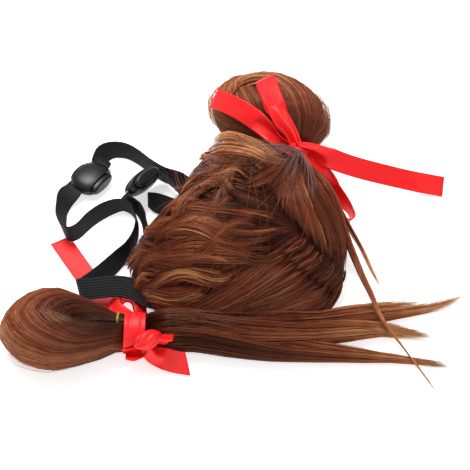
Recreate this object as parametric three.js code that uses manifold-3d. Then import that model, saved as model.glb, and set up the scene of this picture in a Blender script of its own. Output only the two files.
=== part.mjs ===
// Dog wig lying on its open side: net cap, combed hair, two looped bunches with ribbon bows, elastic straps.
// Millimetres, +Z up. Working frame: +X to the right of the view, +Y away from it, floor at z = 0.
import * as THREE from 'three';
import { mergeVertices } from 'three/addons/utils/BufferGeometryUtils.js';
import Module from 'manifold-3d';

// Middle of the finished outline in the working frame
const OUTLINE_MIDDLE = { x: 2, y: -5.95 };
const GAP = 0.35;
const WELD = 1e-3;
// How far a cutting body reaches past the face that it cuts
const CUT_OVER = 1;

// Dome of hair over the cap
const DOME = { x: 4, y: -16, height: 62 };
const HAIR_DEPTH = 8;
const CAP_GAP = 2;
const CAP_WALL = 1.6;
const CAP_GRID = { around: 48, up: 7 };
const CROWN = { x: 37.7, y: -38.9, z: 49.3 };
const CROWN_HOLE = 0.03;
const ROWS_DOWN = 9;
// Reach of the hair from the dome's middle at each bearing, height of its hem above the floor,
// and the share by which it draws in half way up (0 is a round dome)
const OUTLINE = [
  { bearing: 0, reach: 60, hem: 0.4, draw: 0 },
  { bearing: 30, reach: 60, hem: 0.4, draw: 0 },
  { bearing: 60, reach: 60.5, hem: 0.4, draw: 0 },
  { bearing: 90, reach: 61, hem: 0.4, draw: 0 },
  { bearing: 108, reach: 60, hem: 0.4, draw: 0.06 },
  { bearing: 122, reach: 58, hem: 0.4, draw: 0.14 },
  { bearing: 137, reach: 52, hem: 0.4, draw: 0.25 },
  { bearing: 154, reach: 51, hem: 0.4, draw: 0.26 },
  { bearing: 170, reach: 55, hem: 0.4, draw: 0.2 },
  { bearing: 186, reach: 64, hem: 4, draw: 0.08 },
  { bearing: 201, reach: 67, hem: 4, draw: 0 },
  { bearing: 217, reach: 65, hem: 0.4, draw: 0 },
  { bearing: 240, reach: 62, hem: 0.4, draw: 0 },
  { bearing: 270, reach: 60, hem: 0.4, draw: 0 },
  { bearing: 300, reach: 61, hem: 0.4, draw: 0 },
  { bearing: 330, reach: 61, hem: 0.4, draw: 0 },
];
// Hair sections between two rim bearings; locks is the number of ridges across, depth their height
const SECTIONS = {
  hair_far: { from: -28, to: 118, columns: 18, locks: 5, depth: 0.7, swirl: 40 },
  hair_front: { from: 118, to: 238, columns: 20, locks: 6, depth: 1.7, swirl: 190 },
  hair_near: { from: 238, to: 332, columns: 13, locks: 4, depth: 0.6, swirl: -30 },
};
// Share of the lock height that is already there at the crown, before it rises and fades to the hem
const RELIEF_START = 0.15;
const PARTING_GAP = 0.35;
const PARTING_ZIGZAG = { swing: 3, turns: 5 };

// Looped bunches; each row is one upright slice with half sizes
const BUN_SIDES = 18;
const BUN_FAR = [
  { x: 34.5, y: 22, z: 25, wide: 7, tall: 7, groove: 0 },
  { x: 34.5, y: 32, z: 25, wide: 7, tall: 7, groove: 0 },
  { x: 34.5, y: 46, z: 25, wide: 7, tall: 7, groove: 0 },
  { x: 32, y: 52, z: 25, wide: 17, tall: 15, groove: 0 },
  { x: 26.5, y: 59, z: 24.6, wide: 27, tall: 21, groove: 0 },
  { x: 22, y: 68, z: 24.4, wide: 32, tall: 23.8, groove: 0 },
  { x: 20, y: 78, z: 24.4, wide: 33, tall: 24.2, groove: 1 },
  { x: 17, y: 87, z: 24.4, wide: 30, tall: 23, groove: 3 },
  { x: 15, y: 94, z: 24.4, wide: 23, tall: 18, groove: 2 },
  { x: 13, y: 98.5, z: 24.4, wide: 13, tall: 11, groove: 0 },
  { x: 13, y: 100, z: 24.4, wide: 5, tall: 4, groove: 0 },
];
const BUN_NEAR = [
  { x: -48.2, y: -82.2, z: 12.4, wide: 9.95, tall: 9.95, groove: 0 },
  { x: -62.6, y: -82.2, z: 12.4, wide: 9.95, tall: 9.95, groove: 0 },
  { x: -71, y: -82.6, z: 13.6, wide: 14.6, tall: 13.2, groove: 1.5 },
  { x: -80, y: -83.3, z: 15.2, wide: 18.6, tall: 14.8, groove: 4 },
  { x: -88, y: -83.3, z: 16.7, wide: 22.2, tall: 16.3, groove: 5 },
  { x: -97, y: -83, z: 17.3, wide: 24.7, tall: 16.9, groove: 2.5 },
  { x: -106, y: -82.5, z: 17.2, wide: 23, tall: 16.8, groove: 0.5 },
  { x: -114, y: -82, z: 15.7, wide: 19.2, tall: 15.1, groove: 0 },
  { x: -120, y: -82, z: 15.2, wide: 13.6, tall: 11.8, groove: 0 },
  { x: -124, y: -82, z: 14.8, wide: 7.5, tall: 7.5, groove: 0 },
];
const GROOVE_SPREAD = 26;

// Free hair ends; slices across the near tail face along X, across the far tail along Y
const TAIL_SIDES = 10;
const TUFT_SIDES = 6;
const TAIL_NEAR = [
  { x: -47.85, y: -82.2, z: 12.4, wide: 10.2, tall: 10.4 },
  { x: -40, y: -80.6, z: 12.2, wide: 11.6, tall: 11.4 },
  { x: -25, y: -79.6, z: 11.4, wide: 10.4, tall: 11 },
  { x: 0, y: -83.5, z: 11, wide: 10.6, tall: 10.6 },
  { x: 25, y: -86, z: 10.4, wide: 11, tall: 10 },
  { x: 45, y: -83, z: 9, wide: 14, tall: 8.6 },
  { x: 60, y: -79, z: 6.4, wide: 15.5, tall: 6 },
  { x: 70, y: -77, z: 4.6, wide: 14, tall: 3.6 },
  { x: 75, y: -76, z: 4, wide: 9, tall: 1.6 },
];
const TUFTS_NEAR = [
  [
    { x: 45, y: -72, z: 7, wide: 5, tall: 5 },
    { x: 70, y: -66, z: 5.4, wide: 5, tall: 4.2 },
    { x: 91, y: -61, z: 4, wide: 3.6, tall: 3 },
    { x: 112, y: -56, z: 3, wide: 2.2, tall: 2 },
    { x: 128, y: -49.5, z: 3, wide: 0.6, tall: 0.6 },
  ],
  [
    { x: 45, y: -68, z: 6, wide: 4, tall: 4.5 },
    { x: 68, y: -60, z: 4.4, wide: 4, tall: 3.4 },
    { x: 84, y: -56.5, z: 3.4, wide: 2.6, tall: 2.4 },
    { x: 102.5, y: -54.5, z: 2.6, wide: 0.6, tall: 0.6 },
  ],
  [
    { x: 40, y: -80, z: 8, wide: 7, tall: 6 },
    { x: 62, y: -76, z: 6.2, wide: 7, tall: 5 },
    { x: 80, y: -73.5, z: 4.6, wide: 5, tall: 3.6 },
    { x: 94, y: -76, z: 3.6, wide: 3.2, tall: 2.6 },
    { x: 106, y: -79.5, z: 2.6, wide: 0.7, tall: 0.7 },
  ],
  [
    { x: 20, y: -88, z: 8, wide: 8, tall: 7 },
    { x: 56, y: -90, z: 5, wide: 5.5, tall: 4.6 },
    { x: 75, y: -91.5, z: 4, wide: 4, tall: 3.4 },
    { x: 90, y: -94, z: 3, wide: 2.6, tall: 2.2 },
    { x: 110, y: -98.3, z: 1.6, wide: 0.6, tall: 0.6 },
  ],
];
const TUFTS_FAR = [
  [
    { x: 43, y: 21.6, z: 29.6, wide: 3, tall: 3 },
    { x: 49.6, y: 12, z: 33.4, wide: 4, tall: 3.8 },
    { x: 56, y: -1, z: 30, wide: 4.4, tall: 4.2 },
    { x: 61.5, y: -13.4, z: 18, wide: 4, tall: 4 },
    { x: 66.6, y: -25, z: 10.4, wide: 3.4, tall: 3.6 },
    { x: 71.1, y: -38.7, z: 8, wide: 3, tall: 3.2 },
    { x: 75.5, y: -57.6, z: 12.4, wide: 2.7, tall: 2.6 },
    { x: 79, y: -71.3, z: 12.6, wide: 2.4, tall: 2.3 },
    { x: 87.9, y: -85.6, z: 9.4, wide: 1.8, tall: 1.6 },
    { x: 96.5, y: -97.4, z: 5.4, wide: 1.3, tall: 1.2 },
    { x: 106.2, y: -111.9, z: 1.2, wide: 0.6, tall: 0.6 },
  ],
  [
    { x: 54, y: 4, z: 33, wide: 3.4, tall: 3.4 },
    { x: 62.5, y: -8.1, z: 22, wide: 3.4, tall: 3.4 },
    { x: 70.9, y: -18.2, z: 11, wide: 2.8, tall: 2.8 },
    { x: 77.1, y: -33.4, z: 6.6, wide: 2, tall: 2 },
    { x: 82, y: -45.8, z: 5, wide: 0.6, tall: 0.6 },
  ],
];

// Red satin ribbon; share narrows the band where it is gathered
const RIBBON = { width: 12, thickness: 1, steps: 2 };
const WRAP_SIDES = 24;
const TIE_FAR = { x: 34.5, y: 41.2, z: 25, inner: 7.4, width: 9 };
const TIE_NEAR = { x: -54.3, y: -82.2, z: 12.4, inner: 10.3, width: 11.4 };
const KNOTS = {
  bow_far_knot: { x: 36.6, y: 33.4, z: 36.9, size: [6.4, 5, 4.4], turn: -35 },
  bow_near_knot: { x: -46.2, y: -93.8, z: 21.2, size: [8.2, 5, 5.4], turn: 28 },
};
const KNOT_DETAIL = 2;
const HAIR_ELASTIC = { x: -61.2, radius: 11, tube: 0.65, around: 20, across: 6 };
const RIBBON_RUNS = {
  bow_far_loop_upper: [
    { x: 36, y: 33, z: 37.2, edge: 20, tilt: 10, share: 0.5 },
    { x: 32.5, y: 41, z: 40.3, edge: 25, tilt: 5, share: 0.6 },
    { x: 28, y: 48.5, z: 42.6, edge: 28, tilt: 0, share: 0.8 },
    { x: 23.5, y: 57, z: 46.4, edge: 30, tilt: 0, share: 1 },
    { x: 20.4, y: 65.5, z: 49.2, edge: 32, tilt: 0, share: 1 },
    { x: 18, y: 74.5, z: 49.9, edge: 35, tilt: 0, share: 1 },
    { x: 17.2, y: 77.6, z: 51.5, edge: 35, tilt: 0, share: 1 },
    { x: 18, y: 74, z: 53.4, edge: 35, tilt: 0, share: 1 },
    { x: 20.4, y: 64.5, z: 53.4, edge: 32, tilt: 0, share: 1 },
    { x: 23.7, y: 55.5, z: 51, edge: 30, tilt: 0, share: 1 },
    { x: 28, y: 47, z: 46.6, edge: 28, tilt: 0, share: 0.85 },
    { x: 33, y: 39.8, z: 42.6, edge: 25, tilt: 5, share: 0.6 },
    { x: 36.2, y: 33.6, z: 38.6, edge: 20, tilt: 10, share: 0.5 },
  ],
  bow_far_loop_lower: [
    { x: 38.4, y: 31.8, z: 36.4, edge: 24, tilt: 30, share: 0.4 },
    { x: 43.4, y: 26.9, z: 32, edge: 22, tilt: 38, share: 0.6 },
    { x: 50.5, y: 23.9, z: 25.5, edge: -6, tilt: 55, share: 0.9 },
    { x: 56.8, y: 19.5, z: 19, edge: -28, tilt: 59, share: 1 },
    { x: 62.8, y: 14.2, z: 13.4, edge: -42, tilt: 60, share: 1 },
    { x: 67.2, y: 9.3, z: 9.6, edge: -70, tilt: 56, share: 1 },
    { x: 67.8, y: 6, z: 8.4, edge: -76, tilt: 54, share: 1 },
    { x: 66.6, y: 3.8, z: 8, edge: -80, tilt: 53, share: 1 },
    { x: 62.8, y: 5.4, z: 8.4, edge: -80, tilt: 53, share: 1 },
    { x: 59.3, y: 10.6, z: 9.5, edge: -78, tilt: 53, share: 1 },
    { x: 54.6, y: 18.1, z: 11, edge: -75, tilt: 53, share: 0.9 },
    { x: 49.2, y: 25.1, z: 14.5, edge: -70, tilt: 53, share: 0.8 },
    { x: 44.8, y: 30.2, z: 20.4, edge: -60, tilt: 52, share: 0.6 },
    { x: 44.4, y: 30.6, z: 27.5, edge: -60, tilt: 60, share: 0.4 },
    { x: 41.4, y: 31.4, z: 34, edge: -60, tilt: 50, share: 0.35 },
    { x: 38.6, y: 32.4, z: 35.6, edge: -60, tilt: 40, share: 0.35 },
  ],
  bow_far_tail_left: [
    { x: 35.6, y: 34, z: 35.3, edge: 60, tilt: 60, share: 0.5 },
    { x: 26, y: 42.6, z: 35, edge: 55, tilt: 55, share: 0.6 },
    { x: 19.2, y: 48.6, z: 37.6, edge: 48, tilt: 50, share: 0.9 },
    { x: 12.2, y: 54, z: 40.2, edge: 44, tilt: 47, share: 1 },
    { x: 4.2, y: 60.2, z: 41.7, edge: 42, tilt: 46, share: 1 },
    { x: -4, y: 67.6, z: 40.6, edge: 40, tilt: 45, share: 1 },
    { x: -12.4, y: 77.6, z: 36, edge: 38, tilt: 43, share: 1 },
  ],
  bow_far_tail_right: [
    { x: 37.2, y: 33.6, z: 39, edge: 90, tilt: 40, share: 0.5 },
    { x: 45, y: 30.6, z: 39, edge: 90, tilt: 42, share: 0.65 },
    { x: 54.8, y: 28, z: 35, edge: 90, tilt: 42, share: 1 },
    { x: 67.7, y: 28.5, z: 28, edge: 90, tilt: 42, share: 1 },
    { x: 86, y: 31.8, z: 18, edge: 92, tilt: 40, share: 1 },
    { x: 104.6, y: 34.8, z: 9, edge: 95, tilt: 36, share: 1 },
    { x: 123.4, y: 34.7, z: 4.2, edge: 100, tilt: 34, share: 1 },
  ],
  bow_near_loop_back: [
    { x: -56, y: -70.4, z: 9, edge: 180, tilt: 60, share: 0.4 },
    { x: -60.4, y: -63, z: 5, edge: 180, tilt: 30, share: 0.6 },
    { x: -65, y: -56.4, z: 3.7, edge: 175, tilt: 20, share: 0.65 },
    { x: -64.4, y: -51, z: 3.4, edge: 140, tilt: 19, share: 0.6 },
    { x: -60.6, y: -48, z: 2.4, edge: 100, tilt: 20, share: 0.6 },
    { x: -56.2, y: -50, z: 2.4, edge: 55, tilt: 20, share: 0.6 },
    { x: -54, y: -56, z: 2.8, edge: 15, tilt: 22, share: 0.65 },
    { x: -53.2, y: -62.4, z: 3.8, edge: 0, tilt: 22, share: 0.6 },
    { x: -53.2, y: -70.4, z: 9, edge: 0, tilt: 60, share: 0.4 },
  ],
  bow_near_tail_low: [
    { x: -46.8, y: -94.8, z: 17, edge: 80, tilt: 45, share: 0.5 },
    { x: -43, y: -96.8, z: 12, edge: 85, tilt: 45, share: 0.8 },
    { x: -37.5, y: -97, z: 9, edge: 90, tilt: 43, share: 1 },
    { x: -31.5, y: -97, z: 6.2, edge: 90, tilt: 42, share: 1 },
    { x: -25.2, y: -97.4, z: 5, edge: 92, tilt: 42, share: 1 },
  ],
  bow_near_tail_long: [
    { x: -57.6, y: -76.8, z: 0.65, edge: 30, tilt: 0, share: 0.6 },
    { x: -63, y: -66.5, z: 0.65, edge: 29, tilt: 0, share: 0.9 },
    { x: -69, y: -57, z: 0.65, edge: 28, tilt: 0, share: 1 },
    { x: -80, y: -39.5, z: 0.65, edge: 27, tilt: 0, share: 1 },
    { x: -101, y: -4.8, z: 0.65, edge: 21, tilt: 0, share: 1 },
  ],
};

// Black elastic; edge and tilt give the bearing and rise of the direction across the strap
const ELASTIC = { width: 12, thickness: 1.2 };
const STRAP_STEPS = 2;
const CHIN_STRAP = [
  { x: -17, y: 13, z: 7.2, edge: 90, tilt: 80 },
  { x: -24, y: 28.6, z: 6.8, edge: 90, tilt: 81 },
  { x: -30.8, y: 37.5, z: 6.3, edge: 92, tilt: 82 },
  { x: -41.7, y: 42.5, z: 6.3, edge: 100, tilt: 82 },
  { x: -50.9, y: 50, z: 6.3, edge: 108, tilt: 82 },
  { x: -58.4, y: 57.6, z: 6.3, edge: 108, tilt: 82 },
  { x: -65.8, y: 62.7, z: 6.3, edge: 98, tilt: 82 },
  { x: -73.7, y: 63.5, z: 6.3, edge: 96, tilt: 78 },
  { x: -79.6, y: 59.7, z: 6.2, edge: 120, tilt: 50 },
  { x: -80.4, y: 52, z: 6, edge: 144.8, tilt: 0 },
  { x: -87.9, y: 41.4, z: 6, edge: 144.8, tilt: 0 },
  { x: -95.4, y: 30.8, z: 6, edge: 144.8, tilt: 0 },
  { x: -99.4, y: 24, z: 6, edge: 160, tilt: 40 },
  { x: -101.1, y: 16, z: 6.2, edge: 176, tilt: 62 },
  { x: -100.9, y: 6.4, z: 6.2, edge: 182, tilt: 64 },
  { x: -99.1, y: -1.7, z: 7.4, edge: 200, tilt: 80 },
  { x: -94.8, y: -6.4, z: 7.8, edge: 90, tilt: 87 },
  { x: -90.3, y: -4, z: 7.8, edge: 100, tilt: 80 },
  { x: -85.1, y: 4, z: 7.2, edge: 112, tilt: 76 },
  { x: -78.6, y: 11.7, z: 6.4, edge: 105, tilt: 78 },
  { x: -71.3, y: 16.4, z: 6.4, edge: 95, tilt: 85 },
  { x: -65.5, y: 17.8, z: 6.4, edge: 270, tilt: 82 },
  { x: -60.7, y: 15, z: 6.4, edge: 230, tilt: 84 },
  { x: -58, y: 9.3, z: 6.4, edge: 190, tilt: 80 },
  { x: -56.6, y: 1.4, z: 6.4, edge: 180, tilt: 86 },
  { x: -57.6, y: -7.9, z: 6.4, edge: 160, tilt: 84 },
  { x: -61, y: -17.1, z: 6.4, edge: 145, tilt: 76 },
  { x: -65.8, y: -23.6, z: 6.1, edge: 134, tilt: 66 },
  { x: -70.5, y: -30.1, z: 6.2, edge: 126, tilt: 58 },
  { x: -75.8, y: -37, z: 6.4, edge: 118, tilt: 50 },
  { x: -80.6, y: -42, z: 6, edge: 112, tilt: 40 },
  { x: -85.4, y: -45.4, z: 5.4, edge: 109, tilt: 36 },
  { x: -87.4, y: -46.9, z: 6.7, edge: 109, tilt: 36 },
  { x: -85.2, y: -47.8, z: 8.2, edge: 107, tilt: 36 },
  { x: -80, y: -48.6, z: 9.4, edge: 100, tilt: 36 },
  { x: -74, y: -48.6, z: 10.4, edge: 95, tilt: 37 },
  { x: -63.6, y: -48.2, z: 11, edge: 90, tilt: 37 },
  { x: -53.5, y: -51.8, z: 11.2, edge: 82, tilt: 37 },
  { x: -48.6, y: -54.8, z: 10.2, edge: 80, tilt: 40 },
  { x: -44.4, y: -55, z: 9, edge: 85, tilt: 44 },
  { x: -40, y: -53.4, z: 8, edge: 95, tilt: 50 },
  { x: -28, y: -44, z: 7, edge: 110, tilt: 55 },
];
const SIDE_STRAP = [
  { x: -17, y: 8, z: 8, edge: 280, tilt: 70 },
  { x: -25, y: 17, z: 8, edge: 280, tilt: 70 },
  { x: -32, y: 26, z: 8.2, edge: 275, tilt: 60 },
  { x: -37, y: 32.5, z: 8.8, edge: 272, tilt: 54 },
  { x: -41.5, y: 39, z: 10, edge: 300, tilt: 62 },
  { x: -46.6, y: 40.5, z: 11, edge: 317, tilt: 58.2 },
  { x: -49.4, y: 37.6, z: 11, edge: 317, tilt: 58.2 },
  { x: -55.5, y: 31, z: 11, edge: 317, tilt: 58.2 },
  { x: -61.6, y: 24.4, z: 11, edge: 317, tilt: 58.2 },
  { x: -64, y: 21.9, z: 11, edge: 317, tilt: 58.2 },
  { x: -64.5, y: 20.8, z: 10.7, edge: 317, tilt: 58.2 },
  { x: -64.1, y: 19.8, z: 10.1, edge: 317, tilt: 58.2 },
  { x: -61.2, y: 18.7, z: 8.4, edge: 317, tilt: 66 },
  { x: -58, y: 16.4, z: 7, edge: 325, tilt: 78 },
  { x: -55.8, y: 14, z: 6.6, edge: 30, tilt: 84 },
  { x: -53, y: 7, z: 6.4, edge: 10, tilt: 82 },
  { x: -51.8, y: 0, z: 6.4, edge: 5, tilt: 82 },
  { x: -49, y: -7, z: 6.4, edge: 5, tilt: 82 },
  { x: -38, y: -12, z: 6.4, edge: 90, tilt: 82 },
];
const STRAP_END = [
  { x: -51, y: 22.2, z: 6.4, edge: 345, tilt: 78 },
  { x: -45.7, y: 19.6, z: 6.3, edge: 76, tilt: 54 },
  { x: -40.4, y: 17.6, z: 5.6, edge: 88, tilt: 43 },
  { x: -34.6, y: 15, z: 5.2, edge: 86, tilt: 42 },
  { x: -24, y: 8, z: 5.2, edge: 76, tilt: 45 },
];

// Spring cord locks: along is the strap's way through, thick across the flat faces, axis the button's way
const LOCK = { along: 12, thick: 5.6, roundness: 0.72, floorThick: 1.5, slotWidth: 12.8, slotThick: 2.2 };
const BUTTON = { along: 8.8, thick: 3.7, clearance: 0.3, travel: 2.5 };
// Heights from the strap's middle, and the share of the full outline there
const LOCK_LEVELS = [
  { height: -8.6, share: 0.7 },
  { height: -7.1, share: 0.9 },
  { height: -3.6, share: 1 },
  { height: 6.6, share: 1 },
  { height: 9.6, share: 0.94 },
];
const BUTTON_LEVELS = [
  { height: -4.2, share: 1 },
  { height: 11.3, share: 1 },
  { height: 12.4, share: 0.93 },
  { height: 12.9, share: 0.8 },
];
const LOCK_SIDES = 18;
const LOCK_SEATS = [
  { name: 'lock_1', x: -87.9, y: 41.4, z: 6, along: [-0.577, -0.817, 0], axis: [0.817, -0.577, 0] },
  { name: 'lock_2', x: -55.5, y: 31, z: 11, along: [0.682, 0.731, 0], axis: [0.385, -0.359, 0.85] },
];

const FINISH = {
  hair: { color: 0x6b3a24, roughness: 0.5, metalness: 0 },
  net: { color: 0x4a2a1e, roughness: 0.85, metalness: 0 },
  ribbon: { color: 0xe01f2b, roughness: 0.42, metalness: 0 },
  elastic: { color: 0x17171a, roughness: 0.85, metalness: 0 },
  plastic: { color: 0x1b1b1e, roughness: 0.45, metalness: 0 },
  hairElastic: { color: 0x9a8a2c, roughness: 0.6, metalness: 0 },
};

const wasm = await Module();
wasm.setup();
const wig = new THREE.Group();
wig.name = 'dog_wig';

const radians = THREE.MathUtils.degToRad;
const point = (x, y, z) => new THREE.Vector3(x, y, z);
const wave = (turns) => Math.cos(2 * Math.PI * turns);

// Signed volume of an indexed geometry
function volumeOf(geometry) {
  const position = geometry.getAttribute('position');
  const index = geometry.getIndex();
  const corner = [point(), point(), point()];
  let volume = 0;
  for (let i = 0; i < index.count; i += 3) {
    corner.forEach((p, k) => p.fromBufferAttribute(position, index.getX(i + k)));
    volume += corner[0].dot(corner[1].clone().cross(corner[2])) / 6;
  }
  return volume;
}

// Geometry from points and triangles, turned to face out
function solidFrom(points, faces) {
  const geometry = new THREE.BufferGeometry();
  geometry.setAttribute('position', new THREE.Float32BufferAttribute(points.flatMap((p) => p.toArray()), 3));
  geometry.setIndex(faces.flat());
  if (volumeOf(geometry) < 0) geometry.setIndex(faces.flatMap(([a, b, c]) => [a, c, b]));
  return geometry;
}

// Two triangles for each cell of a grid of point numbers
function quads(grid, closed) {
  const faces = [];
  for (let i = 0; i + 1 < grid.length; i += 1) {
    const count = grid[i].length;
    for (let j = 0; j < (closed ? count : count - 1); j += 1) {
      const next = (j + 1) % count;
      faces.push([grid[i][j], grid[i + 1][j], grid[i + 1][next]]);
      faces.push([grid[i][j], grid[i + 1][next], grid[i][next]]);
    }
  }
  return faces;
}

// Closed body through a row of rings, with a fan over each end
function loft(rings) {
  const points = rings.flat();
  const sides = rings[0].length;
  const grid = rings.map((ring, i) => ring.map((_, j) => i * sides + j));
  const faces = quads(grid, true);
  [[0, false], [rings.length - 1, true]].forEach(([end, last]) => {
    const middle = rings[end].reduce((sum, p) => sum.add(p), point(0, 0, 0)).divideScalar(sides);
    points.push(middle);
    grid[end].forEach((a, j) => {
      const b = grid[end][(j + 1) % sides];
      faces.push(last ? [a, points.length - 1, b] : [a, b, points.length - 1]);
    });
  });
  return solidFrom(points, faces);
}

// Closed wall between an outer and an inner open grid of the same size
function wall(outer, inner) {
  const columns = outer[0].length;
  const points = [...outer.flat(), ...inner.flat()];
  const half = outer.length * columns;
  const front = outer.map((row, i) => row.map((_, j) => i * columns + j));
  const back = front.map((row) => row.map((n) => n + half));
  const faces = [...quads(front, false), ...quads(back, false).map(([a, b, c]) => [a, c, b])];
  const around = [
    ...front[0], ...front.slice(1).map((row) => row[columns - 1]),
    ...front[front.length - 1].slice(0, -1).reverse(), ...front.slice(1, -1).map((row) => row[0]).reverse(),
  ];
  around.forEach((a, i) => {
    const b = around[(i + 1) % around.length];
    faces.push([a, b, b + half], [a, b + half, a + half]);
  });
  return solidFrom(points, faces);
}

function toManifold(geometry) {
  const bare = new THREE.BufferGeometry();
  bare.setAttribute('position', geometry.getAttribute('position').clone());
  bare.setIndex(geometry.getIndex());
  const welded = mergeVertices(bare, WELD);
  return new wasm.Manifold(new wasm.Mesh({
    numProp: 3,
    vertProperties: new Float32Array(welded.getAttribute('position').array),
    triVerts: new Uint32Array(welded.getIndex().array),
  }));
}

function fromManifold(manifold) {
  const mesh = manifold.getMesh();
  const geometry = new THREE.BufferGeometry();
  geometry.setAttribute('position', new THREE.BufferAttribute(new Float32Array(mesh.vertProperties), 3));
  geometry.setIndex(new THREE.BufferAttribute(new Uint32Array(mesh.triVerts), 1));
  return geometry;
}

function carve(geometry, cutters) {
  const whole = toManifold(geometry);
  return fromManifold(cutters.reduce((body, cutter) => body.subtract(toManifold(cutter)), whole));
}

function join(geometries) {
  const [first, ...rest] = geometries.map(toManifold);
  return fromManifold(rest.reduce((body, other) => body.add(other), first));
}

function addPiece(name, geometry, finish) {
  const bare = new THREE.BufferGeometry();
  bare.setAttribute('position', geometry.getAttribute('position').clone());
  bare.setIndex(geometry.getIndex());
  const welded = mergeVertices(bare, WELD);
  welded.translate(-OUTLINE_MIDDLE.x, -OUTLINE_MIDDLE.y, 0);
  welded.computeVertexNormals();
  const mesh = new THREE.Mesh(welded, new THREE.MeshStandardMaterial(finish));
  mesh.name = name;
  wig.add(mesh);
}

// Value of one column of OUTLINE at a bearing in degrees, eased between rows
function outlineAt(bearing, column) {
  const turn = THREE.MathUtils.euclideanModulo(bearing, 360);
  const after = OUTLINE.findIndex((row) => row.bearing > turn);
  const next = after < 0 ? { ...OUTLINE[0], bearing: 360 } : OUTLINE[after];
  const last = OUTLINE[(after < 0 ? OUTLINE.length : after) - 1];
  const share = THREE.MathUtils.smoothstep(turn, last.bearing, next.bearing);
  return last[column] + (next[column] - last[column]) * share;
}

// Point of the dome in a direction from its middle, raised by lift
function domePoint(direction, lift) {
  const bearing = THREE.MathUtils.radToDeg(Math.atan2(direction.y, direction.x));
  const level = Math.hypot(direction.x, direction.y);
  const drawn = 1 - 2 * outlineAt(bearing, 'draw') * level * Math.max(direction.z, 0);
  const reach = (outlineAt(bearing, 'reach') + lift) * drawn;
  return point(
    DOME.x + direction.x * reach,
    DOME.y + direction.y * reach,
    Math.max(direction.z, 0) * (DOME.height + lift),
  );
}

const crown = point(
  (CROWN.x - DOME.x) / outlineAt(0, 'reach'),
  (CROWN.y - DOME.y) / outlineAt(0, 'reach'),
  CROWN.z / DOME.height,
).normalize();

// Direction a share of the way from the crown down to the rim at a bearing
function combedDirection(bearing, share) {
  const rim = point(Math.cos(radians(bearing)), Math.sin(radians(bearing)), 0);
  const span = crown.angleTo(rim);
  const hemRise = outlineAt(bearing, 'hem') / DOME.height;
  const end = 1 - Math.asin((hemRise * Math.sin(span)) / crown.z) / span;
  const travel = CROWN_HOLE + (end - CROWN_HOLE) * share;
  return crown.clone().multiplyScalar(Math.sin((1 - travel) * span) / Math.sin(span))
    .addScaledVector(rim, Math.sin(travel * span) / Math.sin(span));
}

// Height of the locks of a section above the plain dome
function lockRelief(section, across, share) {
  const turns = across * section.locks + (section.swirl / 360) * share;
  return section.depth * wave(turns) * Math.sin(Math.PI * (RELIEF_START + share * (1 - RELIEF_START)));
}

// Bearing of a column of a section, with the zigzag of the parting at its ends
function columnBearing(section, across, share) {
  const zigzag = PARTING_ZIGZAG.swing * (Math.abs(((share * PARTING_ZIGZAG.turns) % 1) - 0.5) * 2 - 0.5);
  const plain = section.from + PARTING_GAP + (section.to - section.from - 2 * PARTING_GAP) * across;
  return plain + zigzag;
}

function sectionGrid(section, lift, followLocks) {
  const across = section.columns + 1;
  return Array.from({ length: ROWS_DOWN + 1 }, (_, i) => Array.from({ length: across }, (__, j) => {
    const share = i / ROWS_DOWN;
    const place = j / section.columns;
    const relief = followLocks ? lockRelief(section, place, share) : 0;
    return domePoint(combedDirection(columnBearing(section, place, share), share), lift + relief);
  }));
}

// Closed body under the hair's outer face, used to keep other pieces clear of it
function hairEnvelope(lift) {
  const grids = Object.values(SECTIONS).map((section) => sectionGrid(section, lift, true));
  const rings = grids[0].map((_, i) => grids.flatMap((grid) => grid[i]));
  const rim = rings[rings.length - 1];
  return loft([...rings, rim.map((p) => point(p.x, p.y, -CUT_OVER))]);
}

function capGrid(lift) {
  return Array.from({ length: CAP_GRID.up }, (_, i) => Array.from({ length: CAP_GRID.around }, (__, j) => {
    const climb = (Math.PI / 2) * (i / CAP_GRID.up);
    const bearing = (2 * Math.PI * j) / CAP_GRID.around;
    const level = Math.cos(climb);
    return domePoint(point(level * Math.cos(bearing), level * Math.sin(bearing), Math.sin(climb)), lift);
  }));
}

const CAP_OUTER = -(HAIR_DEPTH + CAP_GAP);
const CAP_INNER = CAP_OUTER - CAP_WALL;

function capWall() {
  const rings = [...capGrid(CAP_INNER).reverse(), ...capGrid(CAP_OUTER)];
  return loft(rings);
}

function capEnvelope(lift) {
  const rings = capGrid(CAP_OUTER + lift);
  return loft([rings[0].map((p) => point(p.x, p.y, -CUT_OVER)), ...rings]);
}

// Body through upright parallel slices; side is the level direction across them
function slicedBody(rows, side, sides) {
  return loft(rows.map((row) => Array.from({ length: sides }, (_, j) => {
    const angle = (2 * Math.PI * j) / sides;
    const fromTop = THREE.MathUtils.radToDeg(Math.abs(Math.atan2(Math.cos(angle), Math.sin(angle))));
    const dent = (row.groove ?? 0) * Math.exp(-((fromTop / GROOVE_SPREAD) ** 2));
    return point(row.x, row.y, row.z + Math.sin(angle) * row.tall - dent)
      .addScaledVector(side, Math.cos(angle) * row.wide);
  })));
}

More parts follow.
